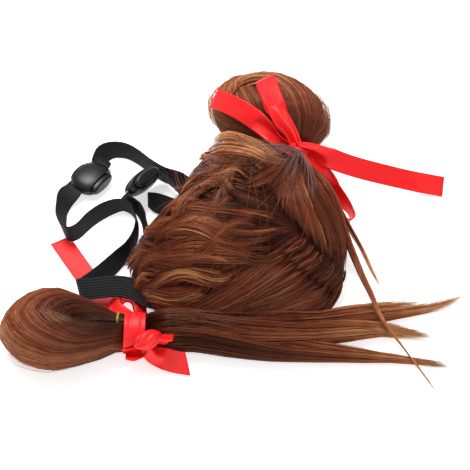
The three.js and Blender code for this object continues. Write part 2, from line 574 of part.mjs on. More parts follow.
// Flat band along a table of rows, with an edge direction at each row
function band(rows, width, thickness, steps) {
  const middles = rows.map((row) => point(row.x, row.y, row.z));
  const path = new THREE.CatmullRomCurve3(middles, false, 'centripetal');
  const across = rows.map((row) => point(
    Math.cos(radians(row.tilt)) * Math.cos(radians(row.edge)),
    Math.cos(radians(row.tilt)) * Math.sin(radians(row.edge)),
    Math.sin(radians(row.tilt)),
  ));
  const count = (rows.length - 1) * steps;
  return loft(Array.from({ length: count + 1 }, (_, i) => {
    const at = i / steps;
    const row = Math.min(Math.floor(at), rows.length - 2);
    const middle = path.getPoint(i / count);
    const tangent = path.getTangent(i / count);
    const edge = across[row].clone().lerp(across[row + 1], at - row);
    edge.addScaledVector(tangent, -edge.dot(tangent)).normalize();
    const face = tangent.clone().cross(edge).normalize();
    const share = THREE.MathUtils.lerp(rows[row].share ?? 1, rows[row + 1].share ?? 1, at - row);
    return [[1, 1], [-1, 1], [-1, -1], [1, -1]].map(([e, f]) => middle.clone()
      .addScaledVector(edge, (e * width * share) / 2).addScaledVector(face, (f * thickness) / 2));
  }));
}

function strap(rows, extra) {
  return band(rows, ELASTIC.width + extra, ELASTIC.thickness + extra, STRAP_STEPS);
}

// Prism with a rounded outline in the lock's own axes, tapered by the share at each level
function lockPrism(levels, along, thick) {
  return loft(levels.map(({ height, share }) => Array.from({ length: LOCK_SIDES }, (_, j) => {
    const angle = (2 * Math.PI * j) / LOCK_SIDES;
    const rounded = (value) => Math.sign(value) * Math.abs(value) ** LOCK.roundness;
    return point(rounded(Math.cos(angle)) * along * share, rounded(Math.sin(angle)) * thick * share, height);
  })));
}

function lockBlock(along, thick, bottom, top) {
  const block = new THREE.BoxGeometry(2 * along, 2 * thick, top - bottom);
  block.translate(0, 0, (top + bottom) / 2);
  block.deleteAttribute('normal');
  block.deleteAttribute('uv');
  return mergeVertices(block, WELD);
}

function lockBody() {
  const outside = lockPrism(LOCK_LEVELS, LOCK.along, LOCK.thick);
  const well = lockPrism([
    { height: LOCK_LEVELS[0].height + LOCK.floorThick, share: 1 },
    { height: LOCK_LEVELS.at(-1).height + CUT_OVER, share: 1 },
  ], BUTTON.along + BUTTON.clearance, BUTTON.thick + BUTTON.clearance);
  const slot = lockBlock(LOCK.along + CUT_OVER, LOCK.slotThick / 2, -LOCK.slotWidth / 2, LOCK.slotWidth / 2);
  return carve(outside, [well, slot]);
}

// Plunger whose two legs straddle the strap over the whole travel
function lockButton() {
  const plunger = lockPrism(BUTTON_LEVELS, BUTTON.along, BUTTON.thick);
  const windowTop = LOCK.slotWidth / 2 + BUTTON.travel;
  const foot = BUTTON_LEVELS[0].height - CUT_OVER;
  return carve(plunger, [lockBlock(BUTTON.along + CUT_OVER, LOCK.slotThick / 2, foot, windowTop)]);
}

function seatLock(geometry, seat) {
  const along = point(...seat.along).normalize();
  const axis = point(...seat.axis);
  axis.addScaledVector(along, -axis.dot(along)).normalize();
  const thick = axis.clone().cross(along);
  const place = new THREE.Matrix4().makeBasis(along, thick, axis).setPosition(seat.x, seat.y, seat.z);
  return geometry.clone().applyMatrix4(place);
}

// Ribbon sleeve round a tie, with its axis along X or Y
function wrapSleeve(tie, axis, extra) {
  const inner = Math.max(tie.inner - extra, 0);
  const outer = tie.inner + RIBBON.thickness + extra;
  const half = tie.width / 2 + extra;
  const profile = [[inner, -half], [outer, -half], [outer, half], [inner, half], [inner, -half]];
  const sleeve = new THREE.LatheGeometry(profile.map(([r, h]) => new THREE.Vector2(r, h)), WRAP_SIDES);
  sleeve.deleteAttribute('normal');
  sleeve.deleteAttribute('uv');
  if (axis === 'x') sleeve.rotateZ(-Math.PI / 2);
  sleeve.translate(tie.x, tie.y, tie.z);
  return mergeVertices(sleeve, WELD);
}

function knotBody(knot, extra) {
  const body = new THREE.IcosahedronGeometry(1, KNOT_DETAIL);
  body.deleteAttribute('normal');
  body.deleteAttribute('uv');
  body.scale(...knot.size.map((size) => size + extra));
  body.rotateZ(radians(knot.turn));
  body.translate(knot.x, knot.y, knot.z);
  return mergeVertices(body, WELD);
}

function hairElastic() {
  const ring = new THREE.TorusGeometry(
    HAIR_ELASTIC.radius, HAIR_ELASTIC.tube, HAIR_ELASTIC.across, HAIR_ELASTIC.around,
  );
  ring.deleteAttribute('normal');
  ring.deleteAttribute('uv');
  ring.rotateY(Math.PI / 2);
  ring.translate(HAIR_ELASTIC.x, TIE_NEAR.y, TIE_NEAR.z);
  return mergeVertices(ring, WELD);
}

const sideX = point(1, 0, 0);
const sideY = point(0, 1, 0);
const hairClear = hairEnvelope(GAP);
const capClear = capEnvelope(GAP);
const knotClear = Object.values(KNOTS).map((knot) => knotBody(knot, GAP));
const strapSlots = [CHIN_STRAP, SIDE_STRAP, STRAP_END].map((rows) => strap(rows, 2 * GAP));

addPiece('cap', capWall(), FINISH.net);
Object.entries(SECTIONS).forEach(([name, section]) => {
  const shell = wall(sectionGrid(section, 0, true), sectionGrid(section, -HAIR_DEPTH, false));
  addPiece(name, carve(shell, strapSlots), FINISH.hair);
});
addPiece('bun_far', carve(slicedBody(BUN_FAR, sideX, BUN_SIDES), [hairClear]), FINISH.hair);
addPiece('bun_near', slicedBody(BUN_NEAR, sideY, BUN_SIDES), FINISH.hair);
const tailNear = join([
  slicedBody(TAIL_NEAR, sideY, TAIL_SIDES),
  ...TUFTS_NEAR.map((rows) => slicedBody(rows, sideY, TUFT_SIDES)),
]);
addPiece('tail_near', carve(tailNear, [hairClear, ...knotClear]), FINISH.hair);
const tailFar = join(TUFTS_FAR.map((rows) => slicedBody(rows, sideX, TUFT_SIDES)));
addPiece('tail_far', carve(tailFar, [hairClear]), FINISH.hair);
addPiece('hair_elastic_near', hairElastic(), FINISH.hairElastic);
addPiece('bow_far_wrap', wrapSleeve(TIE_FAR, 'y', 0), FINISH.ribbon);
addPiece('bow_near_wrap', wrapSleeve(TIE_NEAR, 'x', 0), FINISH.ribbon);
const wrapClear = [wrapSleeve(TIE_FAR, 'y', GAP), wrapSleeve(TIE_NEAR, 'x', GAP)];
Object.entries(KNOTS).forEach(([name, knot]) => {
  addPiece(name, carve(knotBody(knot, 0), wrapClear), FINISH.ribbon);
});
Object.entries(RIBBON_RUNS).forEach(([name, rows]) => {
  const run = band(rows, RIBBON.width, RIBBON.thickness, RIBBON.steps);
  addPiece(name, carve(run, [...knotClear, ...wrapClear, hairClear]), FINISH.ribbon);
});
addPiece('chin_strap', carve(strap(CHIN_STRAP, 0), [capClear]), FINISH.elastic);
addPiece('side_strap', carve(strap(SIDE_STRAP, 0), [capClear]), FINISH.elastic);
addPiece('strap_end', carve(strap(STRAP_END, 0), [capClear]), FINISH.elastic);
LOCK_SEATS.forEach((seat) => {
  addPiece(`${seat.name}_body`, seatLock(lockBody(), seat), FINISH.plastic);
  addPiece(`${seat.name}_button`, seatLock(lockButton(), seat), FINISH.plastic);
});

export default wig;
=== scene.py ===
"""Dog wig lying on its open side: combed hair, two looped bunches, satin bows, elastic straps and cord locks.

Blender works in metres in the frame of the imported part. The tables below are in millimetres of that frame:
+X to the right of the view, +Y away from it, floor at z = 0.
"""
from __future__ import annotations

import logging
import math
from dataclasses import dataclass
from enum import Enum
from functools import cache

import bpy
import numpy as np
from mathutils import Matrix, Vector
from numpy.typing import NDArray


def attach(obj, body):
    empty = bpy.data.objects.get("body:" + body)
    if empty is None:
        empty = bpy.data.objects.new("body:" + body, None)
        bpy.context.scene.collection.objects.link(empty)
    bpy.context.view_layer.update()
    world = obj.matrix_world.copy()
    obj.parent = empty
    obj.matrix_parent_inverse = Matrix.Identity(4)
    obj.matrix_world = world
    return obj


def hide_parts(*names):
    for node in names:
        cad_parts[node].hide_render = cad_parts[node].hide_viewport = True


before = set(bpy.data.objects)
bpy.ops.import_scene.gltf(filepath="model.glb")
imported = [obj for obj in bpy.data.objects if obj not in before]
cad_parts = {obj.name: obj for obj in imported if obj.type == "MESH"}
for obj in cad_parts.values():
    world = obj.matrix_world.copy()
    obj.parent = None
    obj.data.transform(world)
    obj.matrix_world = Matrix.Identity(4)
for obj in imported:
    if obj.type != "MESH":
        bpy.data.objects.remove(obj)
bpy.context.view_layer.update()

Array = NDArray[np.float64]
Faces = NDArray[np.int64]
Shape = tuple[Array, Faces]
Rows = tuple[tuple[float, ...], ...]
Span = tuple[float, float]
Place = tuple[float, float, float]
Color = tuple[float, float, float, float]
Stops = tuple[tuple[float, Color], ...]
Piece = bpy.types.Object
Socket = bpy.types.NodeSocket

LOG = logging.getLogger("dog_wig")
MM = 0.001
SEED = 11
BODY = "wig"
FLOOR_CLEAR = 0.35
BAND_CLEAR = 0.05
TINY = 1e-9
UP = np.array([0.0, 0.0, 1.0])
CHANCE = np.random.default_rng(SEED)

# Free way of the hair from the dome into each tie
INTO_FAR_TIE = ((32.8, 24.0, 41.0), (32.6, 33.0, 34.5), (32.5, 41.0, 31.5))
INTO_NEAR_TIE = ((-38.0, -69.5, 12.0), (-46.0, -73.0, 15.5), (-52.0, -75.0, 17.5))


class Along(Enum):
    """Level axis that a bunch runs along, away from its tie."""

    LEFT = "left"
    AWAY = "away"


class Held(Enum):
    LAID = "laid"
    GATHERED = "gathered"


class Pattern(Enum):
    """What the pattern of a finish follows: the flow that a mesh holds, or the place in the object."""

    FLOW = "flow"
    PLACE = "place"


def linear(*levels: float) -> Color:
    """Linear colour, with its opacity, of a display colour's red, green and blue from 0 to 255."""
    shares = [level / 255 for level in levels]
    return (*(s / 12.92 if s <= 0.04045 else ((s + 0.055) / 1.055) ** 2.4 for s in shares), 1.0)


def unit(vectors: Array) -> Array:
    """Vectors scaled to length one."""
    return vectors / np.maximum(np.linalg.norm(vectors, axis=-1, keepdims=True), TINY)


def smooth_rows(rows: Rows | Array, steps: int) -> Array:
    """Run a smooth line through a table of rows.

    Args:
        rows: Places in the first three columns, and other values that change in a straight line.
        steps: Points for each gap between two rows.

    Returns:
        One row for each point of the line.
    """
    table = np.asarray(rows, float)
    places = table[:, :3]
    ends = np.vstack([2 * places[0] - places[1], places, 2 * places[-1] - places[-2]])
    span = np.sqrt(np.maximum(np.linalg.norm(np.diff(ends, axis=0), axis=1), TINY))
    at = np.arange((len(table) - 1) * steps + 1) / steps
    row = np.minimum(at.astype(int), len(table) - 2)
    share = (at - row)[:, None]
    p0, p1, p2, p3 = (ends[row + k] for k in range(4))
    d0, d1, d2 = (span[row + k][:, None] for k in range(3))
    leave = ((p1 - p0) / d0 - (p2 - p0) / (d0 + d1) + (p2 - p1) / d1) * d1
    arrive = ((p2 - p1) / d1 - (p3 - p1) / (d1 + d2) + (p3 - p2) / d2) * d1
    line = (
        p1 * (2 * share**3 - 3 * share**2 + 1)
        + leave * (share**3 - 2 * share**2 + share)
        + p2 * (3 * share**2 - 2 * share**3)
        + arrive * (share**3 - share**2)
    )
    rest = table[row, 3:] * (1 - share) + table[row + 1, 3:] * share
    return np.hstack([line, rest])


def line_length(places: Array) -> Array:
    """Length along a line up to each of its points."""
    return np.concatenate([[0.0], np.cumsum(np.linalg.norm(np.diff(places[:, :3], axis=0), axis=1))])


def even_rows(rows: Array, count: int) -> Array:
    """Space the points of a line evenly along its length.

    Args:
        rows: Points of the line, with other values in further columns.
        count: Number of points wanted.

    Returns:
        The evenly spaced rows.
    """
    length = line_length(rows)
    wanted = np.linspace(0, length[-1], count)
    return np.column_stack([np.interp(wanted, length, rows[:, k]) for k in range(rows.shape[1])])


def rows_at(rows: Array, at: Array) -> Array:
    """Rows of a table read at row numbers that are whole or in between, with the columns last."""
    whole = np.arange(len(rows))
    return np.stack([np.interp(at, whole, column) for column in rows.T], axis=-1)


def full_turn(count: int) -> Array:
    """Angles evenly spaced round a full turn."""
    return np.linspace(0, 2 * np.pi, count, endpoint=False)


def heading(bearing: Array, rise: Array) -> Array:
    """Unit directions at a level bearing and a rise above the floor."""
    return np.stack([np.cos(rise) * np.cos(bearing), np.cos(rise) * np.sin(bearing), np.sin(rise)], axis=-1)


def level_axes(places: Array, axis: int) -> tuple[Array, Array]:
    """Find the axes beside a line.

    Args:
        places: Places of the line.
        axis: Array axis that runs along it.

    Returns:
        Unit directions level across it and up from it.
    """
    along = unit(np.gradient(places, axis=axis))
    side = unit(np.cross(along, UP))
    return side, np.cross(side, along)


def flow_rows(across: Array, run: Array, capped: bool = True) -> Array:
    """Work out the flow that the finish of a swept body follows.

    Args:
        across: Place across, for each point of a ring.
        run: Run along the body, for each ring.
        capped: Whether the two end points of a loft follow.

    Returns:
        Place across, run and nought for each point.
    """
    count = len(run) * len(across)
    flow = np.column_stack([np.tile(across, len(run)), np.repeat(run, len(across)), np.zeros(count)])
    return np.vstack([flow, flow[:1], flow[-1:]]) if capped else flow


def face_out(points: Array, triangles: Faces) -> Faces:
    """Turn the triangles of a closed body to face out.

    Args:
        points: Points of the body.
        triangles: Three point numbers a row.

    Returns:
        The triangles, turned over if the body was inside out.
    """
    a, b, c = (points[triangles[:, k]] for k in range(3))
    volume = np.einsum("ij,ij->i", a, np.cross(b, c)).sum()
    return triangles if volume > 0 else triangles[:, ::-1]


def grid_faces(numbers: Faces, closed: bool) -> Faces:
    """Cover a grid of point numbers with triangles.

    Args:
        numbers: Grid of point numbers.
        closed: Whether the last column joins the first.

    Returns:
        Two triangles for each cell.
    """
    across = np.hstack([numbers, numbers[:, :1]]) if closed else numbers
    a, b = across[:-1, :-1], across[1:, :-1]
    c, d = across[1:, 1:], across[:-1, 1:]
    return np.vstack([np.stack([a, b, c], -1).reshape(-1, 3), np.stack([a, c, d], -1).reshape(-1, 3)])


def loft(rings: Array, ring_shaped: bool = False) -> Shape:
    """Close a body through a row of rings.

    Args:
        rings: Ring points, one ring after the other.
        ring_shaped: Whether the last ring joins the first; otherwise each end gets a fan.

    Returns:
        The points and the triangles.
    """
    count, sides = rings.shape[:2]
    points = rings.reshape(-1, 3)
    numbers = np.arange(count * sides).reshape(count, sides)
    if ring_shaped:
        faces = grid_faces(np.vstack([numbers, numbers[:1]]), True)
        return points, face_out(points, faces)
    middles = np.array([rings[0].mean(0), rings[-1].mean(0)])
    first, last = len(points), len(points) + 1
    turned = np.roll(numbers, -1, axis=1)
    caps = [
        np.column_stack([numbers[0], turned[0], np.full(sides, first)]),
        np.column_stack([turned[-1], numbers[-1], np.full(sides, last)]),
    ]
    points = np.vstack([points, middles])
    return points, face_out(points, np.vstack([grid_faces(numbers, True), *caps]))


def wall(outer: Array, inner: Array) -> Shape:
    """Close a wall between an outer and an inner open grid of the same size.

    Args:
        outer: Grid of points of the outer face.
        inner: Grid of points of the inner face.

    Returns:
        The points and the triangles.
    """
    rows, columns = outer.shape[:2]
    half = rows * columns
    front = np.arange(half).reshape(rows, columns)
    edge = np.concatenate([front[0], front[1:, -1], front[-1, -2::-1], front[-2:0:-1, 0]])
    ahead = np.roll(edge, -1)
    rim = np.vstack([
        np.column_stack([edge, ahead, ahead + half]),
        np.column_stack([edge, ahead + half, edge + half]),
    ])
    back = grid_faces(front + half, False)[:, ::-1]
    points = np.vstack([outer.reshape(-1, 3), inner.reshape(-1, 3)])
    return points, face_out(points, np.vstack([grid_faces(front, False), back, rim]))


def join(shapes: list[Shape]) -> Shape:
    """Join several bodies into one.

    Args:
        shapes: Points and triangles of each body.

    Returns:
        Points and triangles of them all.
    """
    firsts = np.cumsum([0] + [len(points) for points, _ in shapes[:-1]])
    points = np.vstack([points for points, _ in shapes])
    return points, np.vstack([faces + first for (_, faces), first in zip(shapes, firsts)])


def make_object(
    name: str,
    points: Array,
    triangles: Faces,
    values: dict[str, Array] | None = None,
    bake_map: Array | None = None,
) -> Piece:
    """Make a smooth mesh object.

    Args:
        name: Name of the piece.
        points: Points in millimetres.
        triangles: Three point numbers a row.
        values: Named values at each point, one or three columns wide.
        bake_map: Flat map place of each point.

    Returns:
        The object, linked to the scene.
    """
    mesh = bpy.data.meshes.new(name)
    corners = np.ascontiguousarray(triangles, dtype=np.int32).ravel()
    mesh.vertices.add(len(points))
    mesh.loops.add(len(corners))
    mesh.polygons.add(len(triangles))
    mesh.vertices.foreach_set("co", np.ascontiguousarray(points * MM, dtype=np.float32).ravel())
    mesh.loops.foreach_set("vertex_index", corners)
    mesh.polygons.foreach_set("loop_start", np.arange(0, len(corners), 3, dtype=np.int32))
    mesh.polygons.foreach_set("use_smooth", np.ones(len(triangles), dtype=bool))
    for key, value in (values or {}).items():
        wide = value.ndim == 2
        layer = mesh.attributes.new(key, "FLOAT_VECTOR" if wide else "FLOAT", "POINT")
        layer.data.foreach_set("vector" if wide else "value", np.ascontiguousarray(value, np.float32).ravel())
    if bake_map is not None:
        layer = mesh.uv_layers.new(name="OFBake")
        layer.data.foreach_set("uv", np.ascontiguousarray(bake_map[corners], np.float32).ravel())
    mesh.update(calc_edges=True)
    mesh.validate()
    thing = bpy.data.objects.new(name, mesh)
    bpy.context.scene.collection.objects.link(thing)
    return thing


def place_piece(
    thing: Piece, finish: Finish, nodes: tuple[str, ...] = (), body: str = BODY
) -> Piece:
    """Dress a piece and tie it to the frame.

    Args:
        thing: The piece.
        finish: Its finish.
        nodes: CAD nodes that it stands for.
        body: CAD body that it rides on.

    Returns:
        The same piece.
    """
    thing.data.materials.append(finish.material())
    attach(thing, body)
    if nodes:
        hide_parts(*nodes)
    LOG.info("%s: %d triangles", thing.name, len(thing.data.polygons))
    return thing


def stand_for(
    node: str, kind: str, shape: Shape, finish: Finish, values: dict[str, Array] | None = None
) -> Piece:
    """Make and dress the piece that stands for one CAD node; its name is the node's and the kind."""
    return place_piece(make_object(f"{node}_{kind}", *shape, values), finish, (node,))


class NodeBench:
    """Node tree of one material, with its shader at hand."""

    def __init__(self, name: str, roughness: float) -> None:
        """Start a material.

        Args:
            name: Name of the material.
            roughness: Roughness of the whole surface.
        """
        self.material = bpy.data.materials.new(name)
        self.material.use_nodes = True
        self.tree = self.material.node_tree
        self.shader = self.tree.nodes["Principled BSDF"]
        self.shader.inputs["Roughness"].default_value = roughness

    def add(self, kind: str, **values: object) -> bpy.types.Node:
        """Add a node.

        Args:
            kind: Blender's name of the node.
            values: Settings, or input values where the name is an input's in small letters.

        Returns:
            The node.
        """
        node = self.tree.nodes.new(kind)
        for key, value in values.items():
            title = key.replace("_", " ").title()
            if title in node.inputs:
                node.inputs[title].default_value = value
            else:
                setattr(node, key, value)
        return node

    def link(self, start: Socket, end: Socket) -> None:
        """Join two sockets."""
        self.tree.links.new(start, end)

    def tone(self) -> Socket:
        """Tone that the mesh holds at each point."""
        return self.add("ShaderNodeAttribute", attribute_name="tone").outputs["Fac"]

    def ramp(self, factor: Socket, stops: Stops) -> Socket:
        """Turn a value into a colour.

        Args:
            factor: The value.
            stops: Places from 0 to 1, each with its colour.

        Returns:
            The colour.
        """
        node = self.add("ShaderNodeValToRGB")
        ramp = node.color_ramp
        while len(ramp.elements) < len(stops):
            ramp.elements.new(0.5)
        for element, (place, color) in zip(ramp.elements, stops):
            element.position = place
            element.color = color
        self.link(factor, node.inputs["Fac"])
        return node.outputs["Color"]

    def source(self, pattern: Pattern) -> Socket:
        """Coordinates that a pattern follows: the mesh's flow, or the place in the object."""
        if pattern is Pattern.FLOW:
            return self.add("ShaderNodeAttribute", attribute_name="flow").outputs["Vector"]
        return self.add("ShaderNodeTexCoord").outputs["Object"]

    def noise(self, pattern: Pattern, scale: Place, detail: float) -> Socket:
        """Noise stretched along some directions.

        Args:
            pattern: Coordinates that it follows.
            scale: Scale along each of them.
            detail: Levels of detail.

        Returns:
            The noise value.
        """
        mapping = self.add("ShaderNodeMapping", scale=scale)
        self.link(self.source(pattern), mapping.inputs["Vector"])
        noise = self.add("ShaderNodeTexNoise", scale=1.0, detail=detail)
        self.link(mapping.outputs["Vector"], noise.inputs["Vector"])
        return noise.outputs["Fac"]

    def math(self, operation: str, *values: Socket | float) -> Socket:
        """Work out a sum, a product or the like.

        Args:
            operation: Name of the operation.
            values: Sockets or numbers.

        Returns:
            The result.
        """
        node = self.add("ShaderNodeMath", operation=operation)
        for socket, value in zip(node.inputs, values):
            if isinstance(value, Socket):
                self.link(value, socket)
            else:
                socket.default_value = value
        return node.outputs["Value"]

    def bump(self, height: Socket, strength: float, distance: float) -> None:
        """Raise the surface.

        Args:
            height: Value that raises it.
            strength: Share of the effect.
            distance: Greatest height in metres.
        """
        node = self.add("ShaderNodeBump", strength=strength, distance=distance)
        self.link(height, node.inputs["Height"])
        self.link(node.outputs["Normal"], self.shader.inputs["Normal"])


@dataclass(frozen=True)
class Finish:
    """Surface whose colour follows a noise, which may also raise it."""

    name: str
    roughness: float
    stops: Stops
    gloss: float = 0.5
    pattern: Pattern = Pattern.PLACE
    scale: Place = (1, 1, 1)
    detail: float = 2.0
    relief: Span | None = None  # strength, greatest height in metres

    def shade(self, bench: NodeBench) -> Socket:
        """Value that picks the colour."""
        return bench.noise(self.pattern, self.scale, self.detail)

    def height(self, bench: NodeBench, shade: Socket) -> Socket:
        """Value that raises the surface, here the same as the shade."""
        return shade

    def light(self, bench: NodeBench) -> None:
        """Set how the whole surface takes the light."""
        bench.shader.inputs["Specular IOR Level"].default_value = self.gloss

    @cache
    def material(self) -> bpy.types.Material:
        """Make the material, once.

        Returns:
            The material, which all uses share.
        """
        bench = NodeBench(self.name, self.roughness)
        shade = self.shade(bench)
        bench.link(bench.ramp(shade, self.stops), bench.shader.inputs["Base Color"])
        if self.relief:
            bench.bump(self.height(bench, shade), *self.relief)
        self.light(bench)
        return bench.material


@dataclass(frozen=True)
class ToneFinish(Finish):
    """Hair whose colour follows the tone of each strand, with a little drift along it."""

    drift: float = 0.0
    glint: Color = (1.0, 1.0, 1.0, 1.0)

    def shade(self, bench: NodeBench) -> Socket:
        """Tone of the strand, and the drift where there is one."""
        if not self.drift:
            return bench.tone()
        spread = bench.math("MULTIPLY_ADD", super().shade(bench), self.drift, -self.drift / 2)
        return bench.math("ADD", bench.tone(), spread)

    def light(self, bench: NodeBench) -> None:
        """Set the gloss and the colour of the glint."""
        super().light(bench)
        bench.shader.inputs["Specular Tint"].default_value = self.glint


@dataclass(frozen=True)
class GrainFinish(Finish):
    """Surface that finer noises raise apart from its colour."""

    grains: tuple[tuple[Place, float], ...] = ()  # scale, detail

    def height(self, bench: NodeBench, shade: Socket) -> Socket:
        """Sum of the fine noises."""
        noises = [bench.noise(self.pattern, scale, detail) for scale, detail in self.grains]
        return bench.math("ADD", *noises) if len(noises) > 1 else noises[0]


@dataclass(frozen=True)
class ElasticFinish(Finish):
    """Woven elastic: the ribs are modelled, and the cross weave is raised by the nodes."""

    weave_pitch: float = 0.9
    weave_waver: float = 0.6
    crest_share: float = 0.6

    def shade(self, bench: NodeBench) -> Socket:
        """Paler rib crests and darker grooves, painted shade of the ribs, mixed with fuzz."""
        # Painted shade in the grooves between the ribs
        rib_shade = bench.math("MULTIPLY", bench.tone(), self.crest_share)
        return bench.math("ADD", rib_shade, bench.math("MULTIPLY", super().shade(bench), 1 - self.crest_share))

    def height(self, bench: NodeBench, shade: Socket) -> Socket:
        """Sum of the cross weave along the strap and the fuzz."""
        weave = bench.add("ShaderNodeTexWave", bands_direction="Y", wave_profile="SIN", detail=1.0,
                          scale=math.pi / (10 * self.weave_pitch), distortion=self.weave_waver)
        bench.link(bench.source(self.pattern), weave.inputs["Vector"])
        return bench.math("ADD", weave.outputs["Fac"], super().shade(bench))


@dataclass(frozen=True)
class NetFinish(Finish):
    """Knitted net: small cells with raised edges."""

    cells: float = 620.0
    edge: float = 3.2

    def shade(self, bench: NodeBench) -> Socket:
        """Distance from the edges of the cells."""
        cells = bench.add("ShaderNodeTexVoronoi", feature="DISTANCE_TO_EDGE", scale=self.cells)
        bench.link(bench.source(self.pattern), cells.inputs["Vector"])
        return bench.math("MULTIPLY", cells.outputs["Distance"], self.edge)


@dataclass(frozen=True)
class FloorFinish(Finish):
    """Plain pale studio floor, lit a little from below like a light table."""

    glow: float = 0.6

    def light(self, bench: NodeBench) -> None:
        """Set the light from below."""
        bench.shader.inputs["Emission Color"].default_value = self.stops[-1][1]
        bench.shader.inputs["Emission Strength"].default_value = self.glow


HAIR = ToneFinish("brown_hair", 0.36, (
    (0, linear(32, 14, 11)), (0.28, linear(76, 33, 22)), (0.52, linear(116, 54, 35)),
    (0.78, linear(157, 89, 58)), (1, linear(214, 154, 102)),
), 0.4, scale=(120, 120, 120), drift=0.2, glint=(1.0, 0.66, 0.42, 1.0))
UNDER_HAIR = Finish("under_hair", 0.6, (
    (0.34, linear(28, 12, 9)), (0.54, linear(64, 28, 17)), (0.72, linear(104, 50, 29)),
), 0.12, Pattern.FLOW, (2.6, 0.05, 1), 3, (0.6, 0.0006))
# Painted sheen: the grey-mauve colours of the wisps stand in for white glints on them
SHEEN_WISPS = ToneFinish("painted_sheen_wisps", 0.5, ((0, linear(70, 42, 38)), (1, linear(158, 114, 104))), 0.2)
SATIN = GrainFinish("red_satin", 0.44, (
    (0.3, linear(220, 16, 22)), (0.5, linear(234, 24, 27)), (0.7, linear(242, 32, 32)),
), 0.32, Pattern.FLOW, (1.6, 0.06, 1), 2, (0.2, 0.00012), (((9, 0.25, 1), 1), ((0.4, 7, 1), 1)))
ELASTIC = ElasticFinish("black_elastic", 0.66, ((0.25, linear(7, 7, 8)), (0.95, linear(30, 30, 33))),
                        0.3, Pattern.FLOW, (3.5, 3.5, 1), 3, (0.4, 0.0002))
PLASTIC = GrainFinish("black_plastic", 0.38, ((0.45, linear(9, 9, 10)), (0.8, linear(24, 24, 26))),
                      0.42, scale=(190, 190, 190), detail=4, relief=(0.18, 0.00008),
                      grains=(((2600, 2600, 2600), 2),))
NET = NetFinish("brown_net", 0.8, ((0.1, linear(92, 56, 40)), (0.6, linear(38, 22, 17))),
                relief=(-0.6, 0.0003))
OLIVE_ELASTIC = Finish("olive_elastic", 0.6, ((0.35, linear(96, 84, 24)), (0.65, linear(186, 168, 60))),
                       scale=(1800, 900, 900), relief=(0.5, 0.0002))
PALE_FLOOR = FloorFinish("pale_floor", 0.9, ((0.3, linear(246, 246, 247)), (0.7, linear(250, 250, 250))),
                         scale=(6, 6, 6))


class Strands:
    """Fine strands joined into one mesh, each a three-sided prism with pointed ends."""

    SIDES = 3
    ROOT_TAPER = 0.1
    TIP_TAPER = 0.25
    THINNEST = 0.25
    CELL_EDGE = 0.1

    def __init__(self) -> None:
        """Start with no strands."""
        self.points: list[Array] = []
        self.faces: list[Faces] = []
        self.tones: list[Array] = []
        self.flat: list[Array] = []  # number of the strand, share round it, share along it
        self.point_count = 0
        self.strand_count = 0

    def add(self, paths: Array, width: Array, tone: Array, lean: Array) -> None:
        """Add strands that have the same number of points.

        Args:
            paths: Strand, point and place, in millimetres.
            width: Width of each strand at its thickest.
            tone: Tone of each strand, or of each of its points.
            lean: Direction at right angles to the strands, for each strand or each point.
        """
        count, steps = paths.shape[:2]
        paths = paths.copy()
        paths[..., 2] = np.maximum(paths[..., 2], FLOOR_CLEAR)
        along = unit(np.gradient(paths, axis=1))
        normals = lean if lean.ndim == 3 else np.repeat(lean[:, None], steps, axis=1)
        side = unit(np.cross(along, normals))
        up = np.cross(side, along)
        share = np.linspace(0, 1, steps)
        taper = np.clip(np.minimum(share / self.ROOT_TAPER, (1 - share) / self.TIP_TAPER), self.THINNEST, 1)
        radius = (width[:, None] / 2 * taper)[..., None]
        corners = [
            paths + radius * (math.cos(turn) * side + math.sin(turn) * up)
            for turn in np.arange(self.SIDES) * 2 * math.pi / self.SIDES + math.pi / 2
        ]
        rings = np.stack(corners, axis=2)[:, 1:-1]
        each = self.SIDES * (steps - 2) + 2
        points = np.concatenate([paths[:, :1], rings.reshape(count, -1, 3), paths[:, -1:]], axis=1)
        numbers = 1 + np.arange(self.SIDES * (steps - 2)).reshape(-1, self.SIDES)
        ahead = np.roll(numbers, -1, axis=1)
        faces = np.vstack([
            np.column_stack([np.zeros(self.SIDES, int), ahead[0], numbers[0]]),
            grid_faces(numbers, True)[:, ::-1],
            np.column_stack([numbers[-1], ahead[-1], np.full(self.SIDES, each - 1)]),
        ])
        faces = face_out(points[0] - points[0].mean(0), faces)
        firsts = self.point_count + each * np.arange(count)
        inner = np.repeat(np.arange(1, steps - 1), self.SIDES)
        step_of = np.concatenate([[0], inner, [steps - 1]])
        turn_of = np.concatenate([[1], np.tile(np.arange(self.SIDES), steps - 2), [1]])
        self.points.append(points.reshape(-1, 3))
        self.faces.append((firsts[:, None, None] + faces).reshape(-1, 3))
        tones = tone if tone.ndim == 2 else np.repeat(tone[:, None], steps, axis=1)
        self.tones.append(tones[:, step_of].ravel())
        owner = np.repeat(self.strand_count + np.arange(count), each)
        inside = np.column_stack([turn_of / (self.SIDES - 1), step_of / (steps - 1)])
        self.flat.append(np.column_stack([owner, np.tile(inside, (count, 1))]))
        self.point_count += each * count
        self.strand_count += count

    def bake_map(self) -> Array:
        """Lay the strands out flat, each in a cell of its own.

        Returns:
            Flat place of each point.
        """
        cells = math.ceil(math.sqrt(self.strand_count))
        flat = np.concatenate(self.flat)
        corner = np.column_stack([flat[:, 0] % cells, flat[:, 0] // cells])
        return (corner + self.CELL_EDGE + (1 - 2 * self.CELL_EDGE) * flat[:, 1:]) / cells

    def build(self, name: str, finish: Finish = HAIR, slot: str = "hair") -> None:
        """Make and dress one piece of all the strands.

        Args:
            name: Name of the piece.
            finish: Its finish.
            slot: Not used.
        """
        points, faces = np.concatenate(self.points), np.concatenate(self.faces)
        values = {"tone": np.concatenate(self.tones)}
        place_piece(make_object(name, points, faces, values, self.bake_map()), finish)


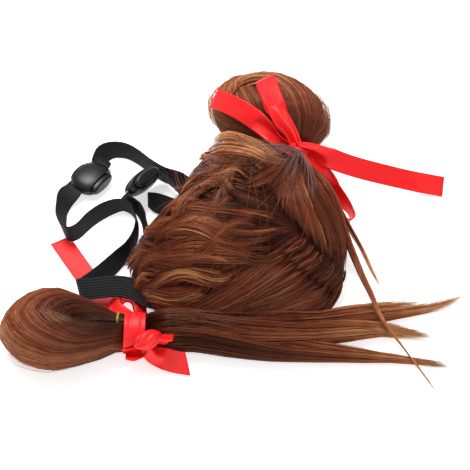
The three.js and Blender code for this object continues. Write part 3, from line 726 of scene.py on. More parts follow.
@dataclass(frozen=True)
class Dome:
    """Dome of hair over the cap: its reach at each bearing, and how it draws in half way up."""

    x: float = 2.0
    y: float = -10.05
    height: float = 62.0
    crown: Place = (35.7, -32.95, 49.3)
    settle_rounds: int = 4
    outline: Rows = (  # bearing, reach, draw
        (0, 60, 0), (30, 60, 0), (60, 60.5, 0), (90, 61, 0), (108, 60, 0.06), (122, 58, 0.14),
        (137, 52, 0.25), (154, 51, 0.26), (170, 55, 0.2), (186, 64, 0.08), (201, 67, 0), (217, 65, 0),
        (240, 62, 0), (270, 60, 0), (300, 61, 0), (330, 61, 0), (360, 60, 0),
    )

    def at_bearing(self, bearing: Array, column: int) -> Array:
        """Look up the outline.

        Args:
            bearing: Bearings in degrees.
            column: 1 for the reach, 2 for the draw.

        Returns:
            The values, eased between rows.
        """
        table = np.asarray(self.outline, float)
        turn = np.mod(bearing, 360)
        row = np.clip(np.searchsorted(table[:, 0], turn, side="right") - 1, 0, len(table) - 2)
        share = (turn - table[row, 0]) / (table[row + 1, 0] - table[row, 0])
        eased = share * share * (3 - 2 * share)
        return table[row, column] + (table[row + 1, column] - table[row, column]) * eased

    def point(self, direction: Array, lift: Array | float) -> Array:
        """Place on the dome in a direction from its middle.

        Args:
            direction: Unit directions.
            lift: Height above the dome.

        Returns:
            The places.
        """
        bearing = np.degrees(np.arctan2(direction[..., 1], direction[..., 0]))
        level = np.hypot(direction[..., 0], direction[..., 1])
        rise = np.maximum(direction[..., 2], 0)
        drawn = 1 - 2 * self.at_bearing(bearing, 2) * level * rise
        reach = (self.at_bearing(bearing, 1) + lift) * drawn
        return np.stack([
            self.x + direction[..., 0] * reach,
            self.y + direction[..., 1] * reach,
            rise * (self.height + lift),
        ], axis=-1)

    def bearing(self, places: Array) -> Array:
        """Bearing of each place from the dome's middle, in degrees."""
        return np.degrees(np.arctan2(places[..., 1] - self.y, places[..., 0] - self.x))

    def direction(self, places: Array) -> Array:
        """Find the direction from the dome's middle in which each place lies.

        Args:
            places: The places.

        Returns:
            Unit directions.
        """
        bearing = self.bearing(places)
        reach, draw = self.at_bearing(bearing, 1), self.at_bearing(bearing, 2)
        drawn = np.ones_like(reach)
        for _ in range(self.settle_rounds):
            way = unit(np.stack([
                (places[..., 0] - self.x) / (reach * drawn),
                (places[..., 1] - self.y) / (reach * drawn),
                np.maximum(places[..., 2], 0) / self.height,
            ], axis=-1))
            drawn = 1 - 2 * draw * np.hypot(way[..., 0], way[..., 1]) * way[..., 2]
        return way

    def snap(self, places: Array, lift: Array | float) -> Array:
        """Move places onto the dome, raised by a lift."""
        return self.point(self.direction(places), lift)

    def normal(self, places: Array) -> Array:
        """Unit direction out of the dome at each place."""
        reach = self.at_bearing(self.bearing(places), 1)
        return unit(np.stack([
            (places[..., 0] - self.x) / reach**2,
            (places[..., 1] - self.y) / reach**2,
            np.maximum(places[..., 2], 1.0) / self.height**2,
        ], axis=-1))

    def combed(self, bearing: Array, share: Array, hem: float = 0.5) -> Array:
        """Direction a share of the way from the crown to the rim.

        Args:
            bearing: Rim bearings in degrees.
            share: Share of the way.
            hem: Height of the hem above the floor.

        Returns:
            Unit directions.
        """
        reach = float(self.at_bearing(np.array(0.0), 1))
        crown = unit(np.array([
            (self.crown[0] - self.x) / reach, (self.crown[1] - self.y) / reach, self.crown[2] / self.height,
        ]))
        turn = np.radians(bearing)
        rim = unit(np.stack([np.cos(turn), np.sin(turn), np.full_like(turn, hem / self.height)], axis=-1))
        span = np.arccos(np.clip(rim @ crown, -1, 1))
        first = np.sin((1 - share) * span) / np.sin(span)
        last = np.sin(share * span) / np.sin(span)
        return first[..., None] * crown + last[..., None] * rim


DOME = Dome()


@dataclass(frozen=True)
class Lock:
    """One lock of hair on the dome: a spine, its width and the look of its strands."""

    spine: Rows
    half: float = 5.0
    count: int = 140
    tone: float = 0.42
    thick: float = 1.6
    # Painted shade: root_shade darkens the roots at the parting; a negative at_tip darkens the ends, painted
    # shade mostly where they run into a tie, and a positive one lightens them
    root_shade: float = 0.0
    at_tip: float = 0.0
    narrow_root: float = 0.7
    narrow_tip: float = 0.4
    lift: float = 0.2
    fill: float = 0.0
    wave: float = 0.0
    waves: float = 1.7
    # Painted highlight on the middle of the lock, painted shade at its edges
    crest_light_shade: float = 0.08
    fray: float = 0.07
    tousle: float = 0.0
    clump_size: int = 10
    clumps_least: int = 6
    clump_span: float = 0.94
    loose: Span = (0.08, 0.1)  # combed, and added by a full tousle
    late_roots: Span = (0.06, 0.45)
    short_tips: float = 0.35
    strays: Span = (0.03, 0.04)  # of the roots, of the tips
    pace: Span = (1.3, 1.6)
    sway: Span = (0.5, 0.9)
    flick: float = 1.1
    stand: float = 0.8
    tone_spread: float = 0.09
    # Painted shade on the strands that lie deep under the others
    depth_shade: float = 0.16
    mean_depth: float = 0.7
    # Painted highlight bands along the waves of the lock and the sway of its clumps
    wave_highlight: float = 0.05
    sway_highlight: float = 0.08
    widths: Span = (0.28, 0.48)
    gap_steps: int = 12
    line_points: int = 80

    def strands(self, bundle: Strands, steps: int) -> None:
        """Lay the strands of the lock.

        Args:
            bundle: Bundle that takes the strands.
            steps: Points along each strand.
        """
        # Each strand belongs to a clump, which gives its place across and most of its shape
        clumps = max(self.clumps_least, self.count // self.clump_size)
        clump = CHANCE.integers(0, clumps, self.count)
        middle = np.linspace(-self.clump_span, self.clump_span, clumps)[CHANCE.permutation(clumps)]
        loose = self.loose[0] + self.loose[1] * self.tousle
        across = np.clip(middle[clump] + CHANCE.normal(0, loose, self.count), -1, 1)
        # Roots begin and tips end at different shares of the spine
        begin = np.abs(CHANCE.normal(0, self.late_roots[0], clumps))
        begin = begin + self.late_roots[1] * self.tousle * CHANCE.uniform(0, 1, clumps)
        short = np.abs(CHANCE.normal(0, self.fray, clumps))
        short = short + self.short_tips * self.tousle * CHANCE.uniform(0, 1, clumps) ** 2
        begin = begin[clump] + np.abs(CHANCE.normal(0, self.strays[0], self.count))
        short = short[clump] + np.abs(CHANCE.normal(0, self.strays[1], self.count))
        own = np.linspace(0, 1, steps)
        share = begin[:, None] + (1 - short - begin)[:, None] * own
        line = even_rows(smooth_rows(self.spine, self.gap_steps), self.line_points)
        at = share * (len(line) - 1)
        spine = rows_at(line, at)
        along = unit(rows_at(np.gradient(line, axis=0), at))
        out = DOME.normal(spine)
        side = unit(np.cross(along, out))
        swell = np.where(share < 0.5, self.narrow_root, self.narrow_tip)
        width = self.half * (swell + (1 - swell) * np.sin(np.pi * share) ** 0.7)
        # Waves of the whole lock, sway of each clump, and flicked tips
        phase = CHANCE.uniform(0, 1)
        swing = np.sin(2 * np.pi * (self.waves * share + phase))
        pace = self.pace[0] + self.pace[1] * self.tousle * CHANCE.uniform(0, 1, clumps)
        turn = pace[clump][:, None] * share + CHANCE.uniform(0, 1, clumps)[clump][:, None]
        sway = CHANCE.normal(0, self.sway[0] + self.sway[1] * self.tousle, clumps)
        sway = sway[clump][:, None] * np.sin(2 * np.pi * turn)
        flick = self.flick * self.tousle * CHANCE.normal(0, 1, self.count)[:, None] * own**4
        stand = self.stand * self.tousle * np.abs(CHANCE.normal(0, 1, self.count))[:, None] * own**4
        offset = across[:, None] * width + sway + flick + self.wave * swing
        ground = DOME.snap(spine, 0.0)
        beside = DOME.snap(ground + side * offset[..., None], 0.0)
        depth = np.sqrt(CHANCE.uniform(0, 1, self.count))
        bulge = (1 - across**2)[:, None] * depth[:, None] * np.sin(np.pi * share) ** 0.4
        height = self.lift + self.thick * bulge + stand - self.fill * (1 - depth)[:, None]
        places = spine + (beside - ground) + out * height[..., None]
        # Painted highlight and shade: crests are lighter and the deep strands between them darker
        crest = self.crest_light_shade * (1 - 2 * np.abs(across) ** 1.4)
        tone = self.tone + crest + CHANCE.normal(0, self.tone_spread, clumps)[clump]
        tone = tone + CHANCE.normal(0, self.tone_spread, self.count)
        # Painted shade at the roots and at the ends that at_tip darkens
        tones = tone[:, None] + self.root_shade * (1 - share) ** 2 + self.at_tip * share**2
        # Painted shade on the deep strands
        tones = tones + self.depth_shade * (depth[:, None] - self.mean_depth)
        # Painted highlight bands along the waves and the sway
        tones = tones + self.wave_highlight * self.wave * swing
        tones = tones + self.sway_highlight * self.tousle * np.sin(2 * np.pi * turn)
        bundle.add(places, CHANCE.uniform(*self.widths, self.count), tones, DOME.normal(places))


@dataclass(frozen=True)
class CombedSection:
    """Hair of one part of the dome: packed under-hair, cover strands and locks on top."""

    name: str
    start: float
    end: float
    locks: tuple[Lock, ...]
    cover: int
    cover_tone: float
    gather: Rows = ()
    curls: tuple[Lock, ...] = ()
    steps: int = 12
    columns: int = 56
    rows: int = 26
    under_lift: float = -1.4
    depth: float = 8.0
    first_share: float = 0.004
    flow_length: float = 60.0
    tone_spread: float = 0.15
    cover_runs: Span = (0.35, 0.8)
    swing: float = 7.0
    swings: float = 1.5
    swing_gap: float = 55.0
    gather_spread: float = 1.6
    widths: Span = (0.32, 0.52)

    def under_hair(self) -> None:
        """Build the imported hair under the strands, a wall that is open below."""
        bearings = np.linspace(self.start, self.end, self.columns)
        shares = np.linspace(self.first_share, 1, self.rows)
        way = DOME.combed(*np.meshgrid(bearings, shares))
        shape = wall(DOME.point(way, self.under_lift), DOME.point(way, -self.depth))
        flow = flow_rows(bearings, self.flow_length * shares, capped=False)
        stand_for(self.name, "under", shape, UNDER_HAIR, {"flow": np.vstack([flow, flow])})

    def cover_paths(self) -> Array:
        """Run cover strands down to the hem, or from all over the section to the tie that gathers it.

        Returns:
            Strand, point and place.
        """
        bearing = CHANCE.uniform(self.start, self.end, self.cover)
        begin = CHANCE.uniform(0.0, 0.95, self.cover) ** 0.8
        if not self.gather:
            begin = begin * 0.75
            finish = np.minimum(begin + CHANCE.uniform(*self.cover_runs, self.cover), 1.0)
            share = begin[:, None] + (finish - begin)[:, None] * np.linspace(0, 1, self.steps)
            turn = self.swings * share + bearing[:, None] / self.swing_gap
            swing = self.swing * np.sin(2 * np.pi * turn)
            return DOME.point(DOME.combed(bearing[:, None] + swing * share, share), 0.1)
        first = DOME.combed(bearing, begin, 3.0)
        leave = np.array([self.gather[0]])
        last = unit(DOME.direction(leave) + CHANCE.normal(0, 0.035, (self.cover, 3)))
        share = np.linspace(0, 0.93, self.steps - 3)[:, None]
        ways = unit(first[:, None] * (1 - share) + last[:, None] * share)
        spread = CHANCE.normal(0, self.gather_spread, (self.cover, 1, 3))
        into = np.asarray(self.gather)[None] + spread * np.array([1.0, 0.9, 0.6])[None, :, None]
        return np.concatenate([DOME.point(ways, 0.15), into], axis=1)

    def strands(self) -> None:
        """Build the cover strands and the locks of the section."""
        bundle = Strands()
        paths = self.cover_paths()
        tone = self.cover_tone + CHANCE.normal(0, self.tone_spread, self.cover)
        bundle.add(paths, CHANCE.uniform(*self.widths, self.cover), tone, DOME.normal(paths))
        for lock in self.locks:
            lock.strands(bundle, self.steps)
        bundle.build(f"{self.name}_strands")

    def loose_curls(self) -> None:
        """Build the curls that lie on top of the locks and stand out at the edge."""
        bundle = Strands()
        for curl in self.curls:
            curl.strands(bundle, self.steps)
        bundle.build(f"{self.name}_curls")

    def build(self) -> None:
        """Build the whole section."""
        self.under_hair()
        self.strands()
        if self.curls:
            self.loose_curls()


def on_dome(rows: Rows | Array, lift: float) -> Rows:
    """Rows moved onto the dome, raised by a lift."""
    return tuple(map(tuple, DOME.snap(np.array(rows, float), lift)))


FAR_LOCKS = tuple(
    Lock((on_dome(spine, lift) if lift else spine) + INTO_FAR_TIE, half, count, tone, thick,
         at_tip=at_tip, narrow_tip=0.3, tousle=tousle)
    for lift, half, count, tone, thick, at_tip, tousle, spine in (
        (0.6, 5.4, 150, 0.4, 1.8, -0.3, 0.3,
         ((-2, -17, 62), (8, -13, 62), (17, -4, 60), (25, 7, 55), (30, 18, 48))),
        (0.8, 5.4, 150, 0.36, 1.8, -0.3, 0.3,
         ((8, -25, 60), (15, -18, 60), (21, -8, 59), (26, 4, 56), (31, 17, 49))),
        (0.8, 5.4, 150, 0.38, 1.8, -0.3, 0.2,
         ((22, -33, 55), (24, -24, 57), (25, -13, 58), (28, 1, 56), (31, 16, 49))),
        (0, 5.5, 150, 0.36, 1.6, -0.3, 0.15,
         ((35, -39, 44), (31, -29, 52), (27, -17, 57), (27, -3, 57), (31, 15, 49))),
        (0, 6.0, 160, 0.38, 1.6, -0.3, 0.15,
         ((42, -42, 35), (39, -32, 45), (35, -20, 52), (31, -8, 55), (32, 17, 48))),
        (0, 6.0, 160, 0.36, 1.6, -0.3, 0.15,
         ((48, -42, 26), (46, -33, 38), (41, -21, 47), (36, -7, 52), (33, 18, 46))),
        (0, 6.0, 160, 0.38, 1.6, -0.3, 0.15,
         ((54, -39, 16), (52, -32, 29), (48, -21, 40), (40, -8, 49), (34, 21, 44))),
        (0, 6.0, 150, 0.42, 1.6, -0.24, 0.15,
         ((59, -30, 10), (58, -21, 22), (53, -10, 34), (44, 2, 44), (36, 22, 40))),
    )
)
FRONT_LOCKS = (
    Lock(((29, 20, 47), (19, 11, 57), (10, 24, 53), (2, 33, 50), (-8, 34, 51), (-14, 33, 47), (-18, 33, 40)),
         6.6, 240, 0.84, 3.0, root_shade=-0.1, narrow_root=0.5, lift=1.4, fill=12,
         wave=1.0, fray=0.1, tousle=0.4),
    Lock(((28, 16, 50), (18, 7, 59), (7, 11, 61), (-5, 18, 58), (-14, 29, 45), (-19, 33, 35), (-24, 33, 27)),
         6.2, 220, 0.76, 3.0, root_shade=-0.1, narrow_root=0.5, lift=1.0, fill=9,
         wave=1.4, fray=0.1, tousle=0.5),
    Lock(((16, 1, 61), (5, 0, 63), (-7, 4, 61), (-17, 14, 49), (-23, 24, 34), (-29, 30, 20), (-33, 31, 11)),
         5.2, 170, 0.54, 2.6, root_shade=-0.15, at_tip=-0.1, fill=3, wave=1.6, fray=0.12, tousle=0.6),
    Lock(((12, -8, 61), (2, -6, 63), (-8, -1, 61), (-17, 7, 50), (-24, 12, 42), (-29, 14, 34),
          (-33, 13, 26)),
         4.8, 130, 0.3, 1.8, wave=1.8, tousle=0.6),
    Lock(((8, -12, 62), (0, -9, 63.5), (-11, -6, 61), (-20, -2, 56), (-27, -6, 53), (-31, -11, 51),
          (-34, -13, 46)),
         5.2, 160, 0.46, 3.0, wave=2.2, crest_light_shade=0.14, tousle=0.7),
    Lock(((3, -26, 61), (-4, -20, 63), (-12, -13, 62), (-21, -10, 58), (-28, -12, 54), (-33, -17, 50),
          (-36, -19, 45)),
         5.2, 160, 0.42, 3.2, wave=2.4, crest_light_shade=0.14, tousle=0.8),
    Lock(((26, -34, 52), (9, -34, 57), (-4, -29, 60), (-16, -28, 58), (-26, -27, 54), (-34, -25, 48),
          (-39, -24, 41)),
         5.4, 170, 0.38, 3.2, root_shade=-0.16, wave=2.4, crest_light_shade=0.14, tousle=0.8),
    Lock(((30, -37, 49), (13, -40, 54), (-4, -38, 56), (-17, -35, 55), (-30, -33, 51), (-40, -28, 45),
          (-46, -27, 37)),
         5.4, 170, 0.44, 3.4, root_shade=-0.18, wave=2.4, crest_light_shade=0.14, tousle=0.8),
    Lock(((33, -39, 46), (13, -44, 51), (-4, -44, 52), (-21, -39, 52), (-34, -35, 48), (-47, -30, 40),
          (-54, -26, 30)),
         5.6, 180, 0.5, 3.6, root_shade=-0.2, at_tip=0.06, wave=2.4, crest_light_shade=0.12, fray=0.1, tousle=0.8),
    Lock(((29, -43, 46), (9, -50, 48), (-8, -48, 48), (-25, -43, 47), (-40, -39, 41), (-50, -37, 31),
          (-57, -35, 21)),
         5.4, 170, 0.54, 3.4, root_shade=-0.2, at_tip=0.06, wave=2.2, crest_light_shade=0.12, fray=0.1, tousle=0.8),
    Lock(((13, -51, 45), (-8, -53, 44), (-23, -49, 44), (-36, -45, 40), (-46, -43, 33),
          (-52, -43, 24), (-56, -43, 14)),
         5.2, 160, 0.52, 3.0, root_shade=-0.16, at_tip=0.06, wave=2.0, crest_light_shade=0.12, fray=0.1, tousle=0.7),
    Lock(((5, -56, 41), (-12, -58, 37), (-30, -53, 34), (-41, -50, 27), (-52, -45, 15), (-61, -38, 8)),
         5.0, 160, 0.6, 2.6, wave=1.4, crest_light_shade=0.12, fray=0.12, tousle=0.5),
    Lock(((-8, -62, 32), (-25, -60, 27), (-39, -56, 19), (-50, -48, 13), (-62, -36, 6)),
         4.6, 140, 0.62, 2.4, wave=1.0, fray=0.12, tousle=0.4),
    Lock(((-16, -65, 24), (-28, -62, 20), (-40, -57, 15), (-51, -48, 8), (-61, -38, 4)),
         4.6, 120, 0.56, 2.2, wave=1.0, fray=0.12, tousle=0.4),
)
FACE_CURLS = tuple(
    Lock(on_dome(laid, 2.0) + free, 4.2, 100, tone, 2.4, wave=1.4, fray=0.12, tousle=0.9, at_tip=0.1)
    for tone, laid, free in (
        (0.46, ((6, -14, 62), (-6, -21, 61), (-16, -31, 57), (-26, -36, 53), (-35, -35, 48)), ()),
        (0.48, ((-8, -2, 62), (-18, -11, 58), (-26, -20, 53), (-33, -28, 48), (-42, -33, 39)), ()),
        (0.44, ((20, -38, 52), (4, -37, 57), (-10, -42, 53), (-24, -49, 45), (-37, -51, 33)), ()),
        (0.76, ((4, 16, 59), (-6, 20, 56), (-14, 24, 49)), ((-19.5, 26, 44), (-22, 27, 38))),
        (0.5, ((-10, -2, 62), (-19, 0, 56), (-27, 1, 48)), ((-32.5, 2.5, 42), (-34.5, 3, 36))),
        (0.5, ((-16, -22, 60), (-26, -20, 55), (-35, -18, 47)), ((-42, -16, 39), (-45, -15.5, 33))),
        (0.54, ((-26, -30, 54), (-36, -28, 48), (-45, -25, 38)), ((-51, -21.5, 30), (-53.5, -21, 23))),
        (0.56, ((-36, -38, 45), (-46, -36, 36), (-54, -33, 24)), ((-61, -29.5, 17), (-63.5, -29, 10))),
        (0.54, ((-38, -46, 36), (-47, -45, 24), (-55, -42, 12)), ((-61, -37.5, 7), (-64, -34, 4))),
    )
)
PARTING = smooth_rows(
    ((34, -40, 44), (40, -43, 36.5), (46.5, -42.5, 28.5), (52.5, -40, 18.5), (57, -35, 10.5)), 2
)
PARTING_TOOTH = np.array(((3.4, 4, 2), (0, 0, 0), (-5, -4, 0), (-11, -9, 0)))
NEAR_LOCKS = tuple(
    Lock(spine + INTO_NEAR_TIE, half, count, tone, thick, at_tip=-0.2, tousle=0.15)
    for half, count, tone, thick, spine in (
        (4.8, 140, 0.47, 1.8, ((33, -41, 44), (17, -52, 43), (3, -60, 35), (-11, -64, 27), (-27, -66, 16))),
        (5.0, 140, 0.47, 1.8, ((38, -44, 38), (22, -56, 37), (5, -64, 30), (-12, -67, 21), (-28, -67, 13))),
        (5.2, 150, 0.47, 1.8, ((45, -43, 31), (31, -55, 32), (13, -63, 28), (-4, -67, 21), (-26, -67, 11))),
        (5.2, 150, 0.46, 1.6, ((51, -41, 21), (35, -56, 25), (18, -65, 23), (-4, -69, 17), (-26, -68, 9))),
        (5.2, 150, 0.46, 1.6, ((56, -37, 11), (44, -53, 16), (26, -64, 18), (5, -69, 15), (-21, -69, 8))),
        (5.0, 140, 0.44, 1.4, ((56, -42, 4), (40, -58, 9), (22, -67, 12), (-4, -70, 11), (-23, -69, 6))),
    )
) + (
    Lock(on_dome(((55, -34, 17), (57, -40, 9), (55, -46, 5), (52, -51, 4), (46, -57, 4), (38, -62, 5)), 1.0),
         5.0, 130, 0.4, 1.8, fill=2, fray=0.14, tousle=0.3),
) + tuple(
    Lock(on_dome(root + PARTING_TOOTH, 1.3), 2.3, 40, 0.5, 1.5,
         root_shade=-0.2, at_tip=-0.1, narrow_root=0.2, narrow_tip=0.8)
    for root in PARTING[:, :3]
)
SECTIONS = (
    CombedSection("hair_far", -28, 118, FAR_LOCKS, 780, 0.36, INTO_FAR_TIE),
    CombedSection("hair_front", 118, 238, FRONT_LOCKS, 560, 0.34, curls=FACE_CURLS),
    CombedSection("hair_near", 238, 332, NEAR_LOCKS, 640, 0.42, INTO_NEAR_TIE),
)


@dataclass(frozen=True)
class LoopedBunch:
    """Bunch of hair folded into a loop: strands run from the tie round an eye and back."""

    name: str
    along: Along
    rows: Rows  # x, y, z, wide, tall, groove
    tie: Span
    eye: Span
    upper: int = 640
    lower: int = 280
    loose: int = 20
    loose_reach: float = 0.04
    # Painted shade: the tones darken the strands towards the eye, in the hollow of the loop
    tones: Rows = ((0, 0.1), (1, 0.6))  # how far out from the eye, tone
    # Painted light: strands facing lit_side are lighter, by up to glow
    lit_side: Place = (0.0, 0.0, 1.0)
    glow: float = 0.1
    groove_half: float = 5.0
    groove_press: float = 1.3
    packed: float = 0.95
    inset: float = 0.6
    waver: float = 0.02
    out_most: float = 1.14
    tone_spread: float = 0.12
    bands: float = 34.0
    band_tone: float = 0.05
    tip_reach: float = 0.35
    tip_share: float = 0.05
    steps: int = 20
    sides: int = 44
    gap_steps: int = 10

    def local(self, places: Array) -> Array:
        """Run away from the tie and place across, for each place."""
        x, y = places[..., 0], places[..., 1]
        return np.stack([-x, y] if self.along is Along.LEFT else [y, x], axis=-1)

    def world(self, run: Array, across: Array, height: Array) -> Array:
        """Places from the run, the place across and the height."""
        axes = [-run, across, height] if self.along is Along.LEFT else [across, run, height]
        return np.stack(axes, axis=-1)

    def table(self) -> Array:
        """Smooth the slices of the bunch.

        Returns:
            Run, middle across, middle height, half width, half height and groove depth of each slice.
        """
        rows = np.asarray(self.rows, float)
        level = self.local(rows[:, :2])
        ordered = np.column_stack([level, rows[:, 2:]])
        tip = ordered[-1].copy()
        tip[0] += self.tip_reach * tip[3]
        tip[3:5] *= self.tip_share
        full = np.vstack([ordered, tip])
        sizes_first = np.column_stack([full[:, 0], full[:, 3], full[:, 4], full[:, 1:3], full[:, 5:]])
        sizes = smooth_rows(sizes_first, self.gap_steps)
        return np.column_stack([sizes[:, 0], sizes[:, 3:5], sizes[:, 1:3], sizes[:, 5:]])

    def slice_at(self, run: Array, column: int) -> Array:
        """Value of one column of the smooth slices at each run."""
        table = self.table()
        return np.interp(run, table[:, 0], table[:, column])

    def height(self, run: Array, across: Array, top: bool) -> Array:
        """Height of the bunch.

        Args:
            run: Distance along the bunch.
            across: Place across it.
            top: Whether the top or the underside is wanted.

        Returns:
            Height above the floor.
        """
        wide = np.maximum(self.slice_at(run, 3), 0.2)
        place = np.clip((across - self.slice_at(run, 1)) / wide, -1, 1)
        rise = self.slice_at(run, 4) * np.sqrt(1 - place**2)
        middle = self.slice_at(run, 2)
        if not top:
            return middle - rise
        tie, eye = self.local(np.array((self.tie, self.eye)))
        groove_line = np.interp(run, [tie[0], eye[0]], [tie[1], eye[1]])
        dent = self.slice_at(run, 5) * np.exp(-(((across - groove_line) / self.groove_half) ** 2))
        return middle + rise - self.groove_press * dent

    def middle(self) -> Array:
        """Middle of the full part of the bunch."""
        return np.append(np.mean(np.asarray(self.rows)[3:, :2], axis=0), self.rows[-1][2])

    def loop_paths(self, share: Array, top: bool, spread: float) -> Array:
        """Run strands round the eye.

        Args:
            share: For each strand, how far out from the eye it lies, from 0 to 1.
            top: Whether the strands lie on the top or the underside.
            spread: How far the strands part in height.

        Returns:
            Strand, point and place.
        """
        table = self.table()
        tie, eye = self.local(np.array((self.tie, self.eye)))
        end = table[-1, 0]
        count = len(share)
        turn = np.linspace(0, np.pi, self.steps)
        reach = np.sin(turn)
        outer_run = tie[0] + (end - tie[0]) * reach
        way = np.where(turn < np.pi / 2, 1, -1)
        outer_across = self.slice_at(outer_run, 1) + way * self.slice_at(outer_run, 3)
        eye_run = tie[0] + (eye[0] - tie[0]) * reach
        eye_across = tie[1] + (eye[1] - tie[1]) * reach
        waver = turn[None] * CHANCE.uniform(1, 3, (count, 1)) + CHANCE.uniform(0, 6.3, (count, 1))
        waver = self.waver * np.sin(waver)
        out = np.clip(share[:, None] + waver * np.sin(turn)[None], 0, self.out_most)
        run = eye_run + out * (outer_run - eye_run)
        across = eye_across + out * (outer_across - eye_across)
        part = spread * CHANCE.uniform(-0.5, 0.5, (count, 1)) * (0.2 + 0.8 * np.sin(turn))
        height = self.height(run, across, top) + (1 if top else -1) * part
        return self.world(run, across, height)

    def under_hair(self) -> None:
        """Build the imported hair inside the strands."""
        table = self.table()
        angle = full_turn(self.sides)
        run = np.repeat(table[:, :1], self.sides, axis=1)
        wide = np.maximum(table[:, 3:4] - self.inset, 0.15)
        across = table[:, 1:2] + np.cos(angle) * wide
        rise = np.sin(angle)[None]
        top = self.height(run, across, True) - self.inset
        height = np.where(rise > 0, top, self.height(run, across, False) + self.inset)
        height = np.where(np.abs(rise) < TINY, table[:, 2:3], height)
        rings = self.middle() + self.packed * (self.world(run, across, height) - self.middle())
        flow = flow_rows(angle * 8, table[:, 0])
        stand_for(self.name, "under", loft(rings), UNDER_HAIR, {"flow": flow})

    def strands(self) -> None:
        """Build the looped strands of the top and the underside, and the loose hairs round the outline."""
        bundle = Strands()
        turn = np.linspace(0, np.pi, self.steps)
        # The underside strands take a negative shade: painted shade under the bunch
        kinds = (  # how far out from the eye, on top or not, parting in height, shade, widths
            (np.cos(CHANCE.uniform(0, math.acos(0.03), self.upper)), True, 1.0, 0.0, (0.3, 0.5)),
            (np.cos(CHANCE.uniform(0, math.acos(0.4), self.lower)), False, 1.0, -0.1, (0.4, 0.62)),
            (CHANCE.uniform(0.98, 1 + self.loose_reach, self.loose), True, 18.0, 0.15, (0.12, 0.17)),
        )
        for share, top, spread, shade, widths in kinds:
            count = len(share)
            paths = self.loop_paths(share, top, spread)
            tone = np.interp(share, *np.transpose(self.tones)) + shade
            tone = tone + CHANCE.normal(0, self.tone_spread, count)
            tone = tone + self.band_tone * np.sin(share * self.bands)
            out = unit(paths - self.middle())
            # Painted light on the side that faces lit_side
            side_light = self.glow * (out @ unit(np.array(self.lit_side)))
            # Painted highlight round the far end of the loop, painted shade at the tie
            tones = tone[:, None] + 0.1 * np.sin(turn) - 0.06 + side_light
            bundle.add(paths, CHANCE.uniform(*widths, count), tones, out)
        bundle.build(f"{self.name}_strands")

    def build(self) -> None:
        """Build the whole bunch."""
        self.under_hair()
        self.strands()


BUNCHES = (
    LoopedBunch("bun_far", Along.AWAY, (
        (32.5, 27.95, 25, 7, 7, 0), (32.5, 37.95, 25, 7, 7, 0), (32.5, 51.95, 25, 7, 7, 0),
        (30, 57.95, 25, 17, 15, 0), (24.5, 64.95, 24.6, 27, 21, 0), (20, 73.95, 24.4, 32, 23.8, 0),
        (18, 83.95, 24.4, 33, 24.2, 1), (15, 92.95, 24.4, 30, 23, 3), (13, 99.95, 24.4, 23, 18, 2),
        (11, 104.45, 24.4, 13, 11, 0), (11, 105.95, 24.4, 5, 4, 0),
    ), tie=(32.5, 47.15), eye=(7.5, 84.2), upper=660, lower=170, loose=110, loose_reach=0.1,
        tones=((0, 0.3), (0.2, 0.42), (0.5, 0.5), (0.8, 0.58), (1, 0.68)),
        lit_side=(-0.3, 0.7, 0.7), glow=0.24),
    LoopedBunch("bun_near", Along.LEFT, (
        (-50.2, -76.25, 12.4, 9.95, 9.95, 0), (-64.6, -76.25, 12.4, 9.95, 9.95, 0),
        (-73, -76.65, 13.6, 14.6, 13.2, 2), (-82, -77.35, 15.2, 18.6, 14.8, 4),
        (-90, -77.35, 16.7, 22.2, 16.3, 3), (-99, -77.05, 17.3, 24.7, 16.9, 0.8),
        (-108, -76.55, 17.2, 23, 16.8, 0), (-116, -76.05, 15.7, 19.2, 15.1, 0),
        (-122, -76.05, 15.2, 13.6, 11.8, 0), (-126, -76.05, 14.8, 7.5, 7.5, 0),
    ), tie=(-56.3, -75.4), eye=(-82.0, -78.6), upper=800, lower=150,
        tones=((0, 0.0), (0.12, 0.12), (0.3, 0.28), (0.6, 0.4), (0.85, 0.52), (1, 0.66)),
        lit_side=(-0.7, -0.3, 0.5)),
)


